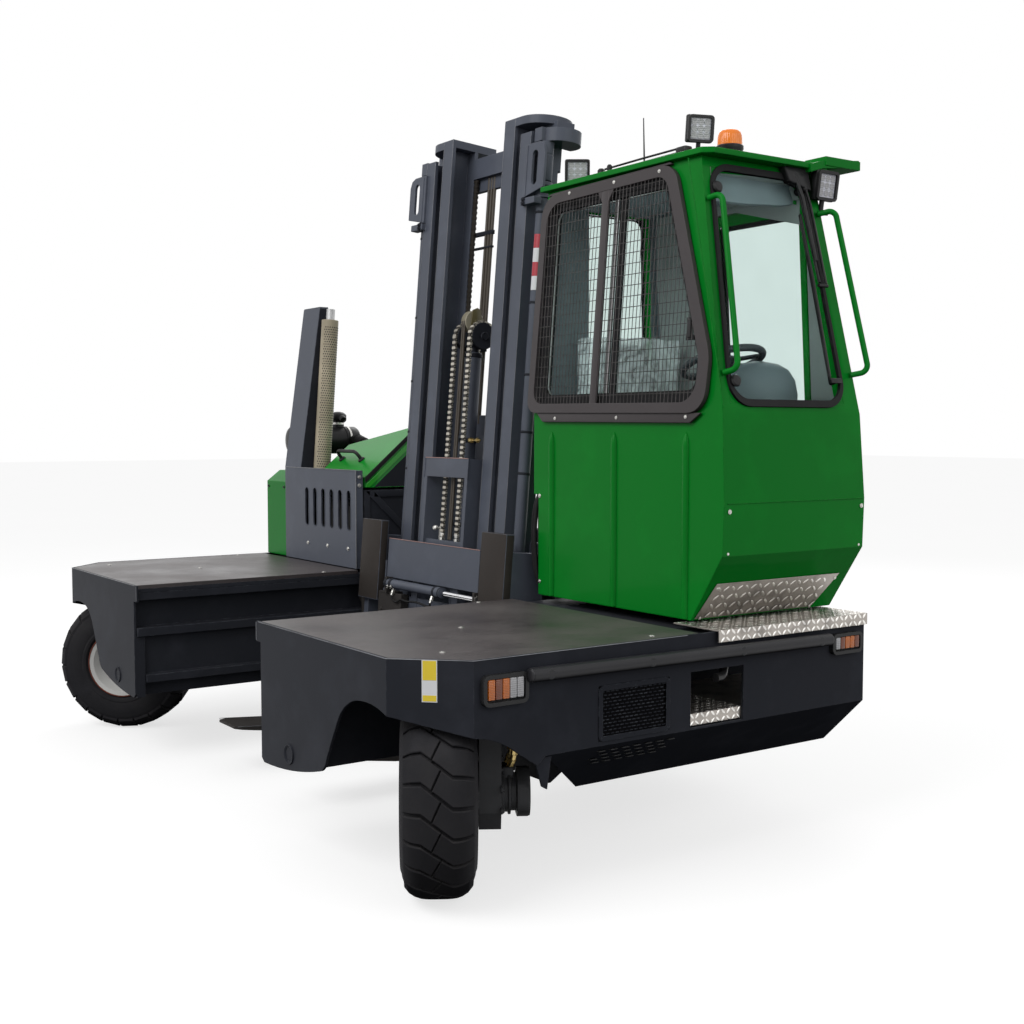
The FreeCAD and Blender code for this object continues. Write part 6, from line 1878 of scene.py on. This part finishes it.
def carriageDetails():
    matrix = mastMatrix()
    lines = [[place(-0.406, 1.1428, 1.0125), place(0.406, 1.1428, 1.0125)],
        [place(-0.188, 1.1898, 1.4205), place(0.188, 1.1898, 1.4205)]]
    wires("carriage_bright_edges", lines, 0.0022, "edgePink", sides=6, matrix=matrix, body="fork_carriage")
    welds = [[place(s * 0.1905, 1.1895, z) for z in (1.325, 1.42)] for s in (-1, 1)]
    welds += [[place(s * 0.149, 1.1675, z) for z in (0.57, 0.82)] for s in (-1, 1)]
    wires("carriage_welds", welds, 0.0035, "mastPaint", sides=6, matrix=matrix, body="fork_carriage")
    # positioner: end caps, ports and thin hoses
    caps = Shape(matrix)
    for x, way in ((-0.34, -1), (-0.315, 1), (0.088, 1)):
        caps.lathe([(0.0, 0.0235), (0.003, 0.0262), (0.016, 0.0262), (0.019, 0.0235)], place(x, 1.121, 0.795),
            (way, 0, 0), sides=32)
    caps.lathe([(0.0, 0.0252), (0.002, 0.027), (0.008, 0.027), (0.01, 0.025)], place(0.138, 1.121, 0.795),
        (1, 0, 0), sides=32)
    caps.make("positioner_caps", "slatePaint", "fork_left", smooth=40)
    ports = Shape(matrix)
    for x in (-0.29, 0.07):
        ports.drum(place(x, 1.118, 0.772), place(x, 1.112, 0.752), 0.0085, sides=6, bevel=0.001)
        ports.drum(place(x, 1.112, 0.752), place(x, 1.108, 0.74), 0.006, sides=12)
    for x in (-0.315, -0.285):
        ports.drum(place(x, 1.1, 0.783), place(x, 1.093, 0.779), 0.0075, sides=6, bevel=0.001)
    ports.make("positioner_ports", "boltZinc", "fork_left")
    thin = [smoothLine(places((-0.29, 1.108, 0.742), (-0.28, 1.106, 0.722), (-0.245, 1.11, 0.712),
        (-0.205, 1.112, 0.728), (-0.15, 1.112, 0.724), (-0.06, 1.112, 0.73), (0.03, 1.112, 0.722),
        (0.064, 1.11, 0.728), (0.07, 1.108, 0.741)))]
    wires("positioner_hoses", thin, 0.005, "rubberBlack", sides=8, matrix=matrix, body="fork_left")
    eye = Shape(matrix)
    eye.drum(place(0.42, 1.121, 0.795), place(0.442, 1.121, 0.795), 0.016, sides=6, bevel=0.002)
    eye.make("positioner_nut", "boltZinc", "fork_right")
    # heel bolts and worn tips of the forks
    for side, s in (("left", -1), ("right", 1)):
        worn = [[place(s * x, 0.322, 0.1455), place(s * x, 1.095, 0.1455)] for x in (0.2215, 0.4385)]
        wires("fork_edges_" + side, worn, 0.0015, "edgeSteel", sides=5, matrix=matrix, body="fork_" + side)
        spots = [place(s * 0.33 + dx, 1.1215, z) for dx in (-0.07, 0.07) for z in (0.66, 0.3)]
        bolts("fork_bolts_" + side, spots, (0, -1, 0), 0.009, "brownPaint", height=0.006, washer=0.015,
            matrix=matrix, body="fork_" + side)


def reachDetails():
    # roller hubs, pin keepers and the loop of hoses between carriage and chassis
    hubs = Shape()
    for s in (-1, 1):
        for y in (1.262, 1.56):
            hubs.lathe([(0.0, 0.034), (0.008, 0.034), (0.01, 0.026), (0.014, 0.024), (0.014, 0.008)],
                place(s * 0.6495, y, 0.705), (-s, 0, 0), sides=28)
        hubs.lathe([(0.0, 0.04), (0.008, 0.04), (0.01, 0.034), (0.01, 0.01)], place(s * 0.4695, 1.33, 0.45),
            (-s, 0, 0), sides=28)
    hubs.make("roller_hubs", "driveIron", "reach_carriage")
    spots = [place(s * 0.6495, y + dy, 0.705) for s in (-1, 1) for y in (1.262, 1.56)
        for dy in (-0.021, 0.021)]
    facings = [(-s, 0, 0) for s in (-1, 1) for _ in range(4)]
    spots = [p + Vector(f) * 0.01 for p, f in zip(spots, facings)]
    bolts("hub_bolts", spots, facings, 0.0055, height=0.004, washer=0.008, body="reach_carriage")
    hoses = [smoothLine(places((x, 1.64, 0.5), (x, 1.652, 0.44), (x, 1.645, 0.38), (x - 0.02, 1.6, 0.35),
        (x - 0.12, 1.5, 0.345), (x - 0.2, 1.433, 0.35))) for x in (0.61, 0.635, 0.66)]
    wires("reach_hoses", hoses, 0.01, "rubberBlack", sides=10, body="reach_carriage")


chainHead()
chainStrands()
mastDetails()
carriageDetails()
reachDetails()
print("mast and carriage finished")


# wheels
wheelRadius = 0.346
wheelDetail = {"lugs": 22, "depth": 0.014, "groove": 0.055, "centreGroove": 0.03, "reach": 0.113, "bolts": 8}


def tyreRadius(s):
    # outer radius of the tyre at a distance from its middle
    steps = [(0.0, wheelRadius), (0.055, wheelRadius), (0.091, 0.334), (0.115, 0.305), (0.125, 0.25)]
    s = abs(s)
    for (s0, r0), (s1, r1) in zip(steps, steps[1:]):
        if s <= s1:
            return r0 + (r1 - r0) * (s - s0) / (s1 - s0)
    return steps[-1][1]


def waveShift(u):
    # the cross grooves run level at the shoulders and slant over the middle
    return 0.81 * min(1.0, max(0.0, (u + 0.5) / 0.9))


def lugUnit(half):
    # one tread block; half -1 or 1
    gap, slit = wheelDetail["groove"], wheelDetail["centreGroove"]
    pitch = 2 * pi / wheelDetail["lugs"]
    if half < 0:
        stations = [-1.0, -0.86, -0.7, -0.5, -0.36, -0.22, -0.1, 0.02, 0.055]
    else:
        stations = [-0.195, -0.16, -0.02, 0.08, 0.24, 0.4, 0.55, 0.7, 0.86, 1.0]
    rings = []
    for u in stations:
        upper, lower = waveShift(u) - 1 + gap, waveShift(u) - gap
        cross = 0.25 - 0.73 * (u + 0.22) / 0.3
        if half < 0 and u > -0.22:
            lower = min(lower, cross - slit * 2.4)
        if half > 0 and u < 0.08:
            upper = max(upper, cross + slit * 2.4)
        lower = max(lower, upper + 0.02)
        s = u * wheelDetail["reach"]
        top, base = tyreRadius(s), tyreRadius(s) - wheelDetail["depth"] - 0.004
        edge = min(0.035, (lower - upper) * 0.3)
        ring = []
        for t, r in ((upper, base), (lower, base), (lower, top - 0.003), (lower - edge, top),
                (upper + edge, top), (upper, top - 0.003)):
            a = t * pitch
            ring.append(Vector((s, -r * sin(a), r * cos(a))))
        rings.append(ring)
    unit = Shape()
    unit.loft(rings)
    return unit


def buildTyre(where):
    matrix = wheelMatrix(where)
    centre = Vector((0, 0, wheelRadius))
    body = "wheel_" + where
    depth = wheelDetail["depth"]
    profile = [(-0.1, 0.1585), (-0.103, 0.173), (-0.122, 0.188), (-0.1255, 0.2), (-0.1235, 0.208),
        (-0.1262, 0.216), (-0.1262, 0.252), (-0.1225, 0.262), (-0.12, 0.275), (-0.112, 0.296),
        (-0.091, 0.334 - depth), (-0.055, wheelRadius - depth)]
    profile += [(-s, r) for s, r in reversed(profile)]
    shape = Shape(matrix)
    rings = []
    for k in range(88):
        a = 2 * pi * k / 88
        rings.append([centre + Vector((sin(a) * r, s, cos(a) * r)) for s, r in profile])
    shape.loft(rings, closed=True)
    shape.make("tyre_body_" + where, "tyreRubber", body, ("tyre_" + where,), smooth=24)
    hub = matrix @ centre
    axle = (matrix.to_3x3() @ Vector((0, 1, 0))).normalized()
    rolling = (matrix.to_3x3() @ Vector((1, 0, 0))).normalized()
    facings = []
    for k in range(wheelDetail["lugs"]):
        a = 2 * pi * (k + 0.3) / wheelDetail["lugs"]
        facings.append(tuple(rolling * sin(a) + Vector((0, 0, 1)) * cos(a)))
    for label, half in (("near", -1), ("far", 1)):
        spread("tread_" + label + "_" + where, lugUnit(half), [hub] * len(facings), facings, tuple(axle),
            "tyreRubber", smooth=24, body=body)


def buildRim(where):
    matrix = wheelMatrix(where)
    centre = Vector((0, 0, wheelRadius))
    body = "wheel_" + where
    spots, facings = [], []
    for k in range(wheelDetail["bolts"]):
        a = 2 * pi * k / wheelDetail["bolts"]
        spots.append(centre + Vector((0.088 * cos(a), -0.0785, 0.088 * sin(a))))
        facings.append((0, -1, 0))
    bolts("wheel_nuts_" + where, spots, facings, 0.01, "driveIron", height=0.011, washer=0.016, matrix=matrix,
        body=body)
    hub = Shape(matrix)
    hub.lathe([(0.0, 0.062), (0.01, 0.06), (0.014, 0.05), (0.018, 0.047), (0.034, 0.044), (0.04, 0.036),
        (0.042, 0.01)], centre + Vector((0, -0.078, 0)), (0, -1, 0), sides=36)
    hub.drum(centre + Vector((0.128, -0.086, 0.0)), centre + Vector((0.136, -0.112, 0.0)), 0.0045, sides=10)
    hub.make("hub_cap_" + where, "driveIron", body, smooth=40)
    ring = [centre + Vector((0.1725 * cos(a), -0.1165, 0.1725 * sin(a)))
        for a in (2 * pi * k / 64 for k in range(65))]
    other = [p + Vector((0, 0.233, 0)) for p in ring]
    wires("rim_edges_" + where, [ring, other], 0.0035, "rimEdge", sides=6, matrix=matrix, body=body)


def buildLeg(where):
    matrix = wheelMatrix(where)
    body = "steering_" + where
    centre = Vector((0, 0, wheelRadius))
    motor = Shape(matrix)
    motor.lathe([(0.0, 0.074), (0.012, 0.074), (0.014, 0.068), (0.024, 0.068), (0.026, 0.076), (0.034, 0.076),
        (0.036, 0.064), (0.052, 0.064)], centre + Vector((0, 0.2065, 0)), (0, 1, 0), sides=40)
    motor.lathe([(0.0, 0.07), (0.004, 0.0835), (0.04, 0.0835), (0.046, 0.08), (0.048, 0.066), (0.049, 0.02)],
        centre + Vector((0, 0.258, 0)), (0, 1, 0), sides=44)
    motor.block((-0.038, 0.212, 0.4), (0.038, 0.252, 0.438), bevel=0.005)
    motor.make("hub_motor_" + where, "driveIron", body, smooth=40)
    around = [2 * pi * (k + 0.5) / 10 for k in range(10)]
    heads = [centre + Vector((0.115 * cos(a), 0.2075, 0.115 * sin(a))) for a in around
        if wheelRadius + 0.115 * sin(a) > 0.26]
    bolts("leg_bolts_" + where, heads, (0, 1, 0), 0.0075, "driveIron", height=0.006, washer=0.0115,
        matrix=matrix, body=body)
    fittings = Shape(matrix)
    starts = ((-0.022, 0.232), (0.022, 0.238))
    for x, y in starts:
        fittings.drum((x, y, 0.436), (x * 1.4, y + 0.01, 0.462), 0.0125, sides=6, bevel=0.001)
        fittings.drum((x * 1.4, y + 0.01, 0.462), (x * 1.6, y + 0.014, 0.482), 0.0095, sides=14)
        fittings.drum((x * 1.6, y + 0.014, 0.482), (x * 1.8, y + 0.016, 0.5), 0.012, sides=6, bevel=0.001)
    fittings.make("motor_fittings_" + where, "brassFitting", body)
    lines = [smoothLine([(x * 1.8, y + 0.016, 0.498), (x * 2.1, y + 0.02, 0.56), (x * 2.2, y + 0.014, 0.63),
        (x * 1.8, y - 0.012, 0.69), (x * 1.2, y - 0.05, 0.706)]) for x, y in starts]
    wires("motor_hoses_" + where, lines, 0.0095, "rubberBlack", sides=10, matrix=matrix, body=body)
    tooth = Shape().slab([(-0.005, 0, 0.0), (0.005, 0, 0.0), (0.0025, 0, 0.008), (-0.0025, 0, 0.008)],
        (0, 0.02, 0))
    count = 64
    spots, facings, alongs = [], [], []
    for k in range(count):
        a = 2 * pi * k / count
        out = matrix.to_3x3() @ Vector((cos(a), sin(a), 0))
        spots.append(matrix @ Vector((0, 0, 0.741)) + out * 0.139)
        facings.append(tuple(out))
        alongs.append(tuple(Vector((0, 0, 1)).cross(out)))
    spread("slewing_teeth_" + where, tooth, spots, facings, alongs, "driveIron", body=body)


for where in ("front_right", "front_left", "rear"):
    buildTyre(where)
    buildRim(where)
    buildLeg(where)
print("wheels finished")


# light, floor, camera
studio = {"fill": 0.6, "key": 330.0, "side": 70.0, "rear": 160.0, "floorSeen": 0.4, "floorGlow": 0.7,
    "floorBounce": 0.12}


def seenRay(add):
    # 1 for rays that show the background: the camera's, and those mirrored or let through
    path = add("ShaderNodeLightPath").outputs
    first = calc(add, "MAXIMUM", path["Is Camera Ray"], path["Is Glossy Ray"])
    return calc(add, "MAXIMUM", first, path["Is Transmission Ray"])


def buildWorld():
    world = bpy.data.worlds.new("studio")
    scene.world = world
    world.use_nodes = True
    world.node_tree.nodes.clear()
    add = adder(world.node_tree)
    soft, white = [add("ShaderNodeBackground", {"Color": (1, 1, 1, 1), "Strength": strength})
        for strength in (studio["fill"], 1.0)]
    mixed = add("ShaderNodeMixShader", {0: seenRay(add), 1: soft, 2: white})
    add("ShaderNodeOutputWorld", {"Surface": mixed})


def buildFloor():
    # pale where it is seen, a dimmer bounce on the object, and it keeps the shadow
    add, where = startMaterial("floorPaper")
    tone = patches(add, where, 0.7, 2.0)
    pale, bounce = studio["floorSeen"], studio["floorBounce"]
    paper = blendColours(add, tone, [pale] * 3, [pale * 1.04] * 3)
    lit = add("ShaderNodeBsdfDiffuse", {"Color": paper})
    glow = add("ShaderNodeEmission", {"Color": (1, 1, 1, 1), "Strength": studio["floorGlow"]})
    seen = add("ShaderNodeAddShader", {0: lit, 1: glow})
    dim = add("ShaderNodeBsdfDiffuse", {"Color": (bounce, bounce, bounce, 1)})
    mixed = add("ShaderNodeMixShader", {0: seenRay(add), 1: dim, 2: seen})
    add("ShaderNodeOutputMaterial", {"Surface": mixed})
    mesh = bpy.data.meshes.new("floor")
    reach = 60.0
    mesh.from_pydata([(-reach, -reach, 0), (reach, -reach, 0), (reach, reach, 0), (-reach, reach, 0)], [],
        [(0, 1, 2, 3)])
    mesh.materials.append(materials["floorPaper"])
    floor = bpy.data.objects.new("floor", mesh)
    floor.location.z = cadLow.z - 0.0005
    scene.collection.objects.link(floor)


def softbox(name, spot, aim, size, power):
    light = bpy.data.lights.new(name, "AREA")
    light.shape = "RECTANGLE"
    light.size, light.size_y = size
    light.energy = power
    box = bpy.data.objects.new(name, light)
    box.location = spot
    box.rotation_euler = (Vector(aim) - Vector(spot)).to_track_quat("-Z", "Y").to_euler()
    scene.collection.objects.link(box)


buildWorld()
buildFloor()
softbox("key", (1.5, -6.5, 6.5), (0, 0, 1.0), (6, 4), studio["key"])
softbox("side", (7.5, 1.0, 4.0), (0.5, 0, 1.2), (4, 4), studio["side"])
softbox("rear", (-4.5, 6.0, 6.0), (0, 0, 1.2), (6, 4), studio["rear"])

camera = bpy.data.objects.new("camera", bpy.data.cameras.new("camera"))
camera.data.lens = 46.19
camera.data.sensor_width = 36.0
camera.location = (5.263, -3.124, 1.563)
camera.rotation_euler = (radians(90 - 3.595), 0, radians(55.095))
scene.collection.objects.link(camera)
scene.camera = camera
scene.view_settings.view_transform = "Standard"
print("studio ready")
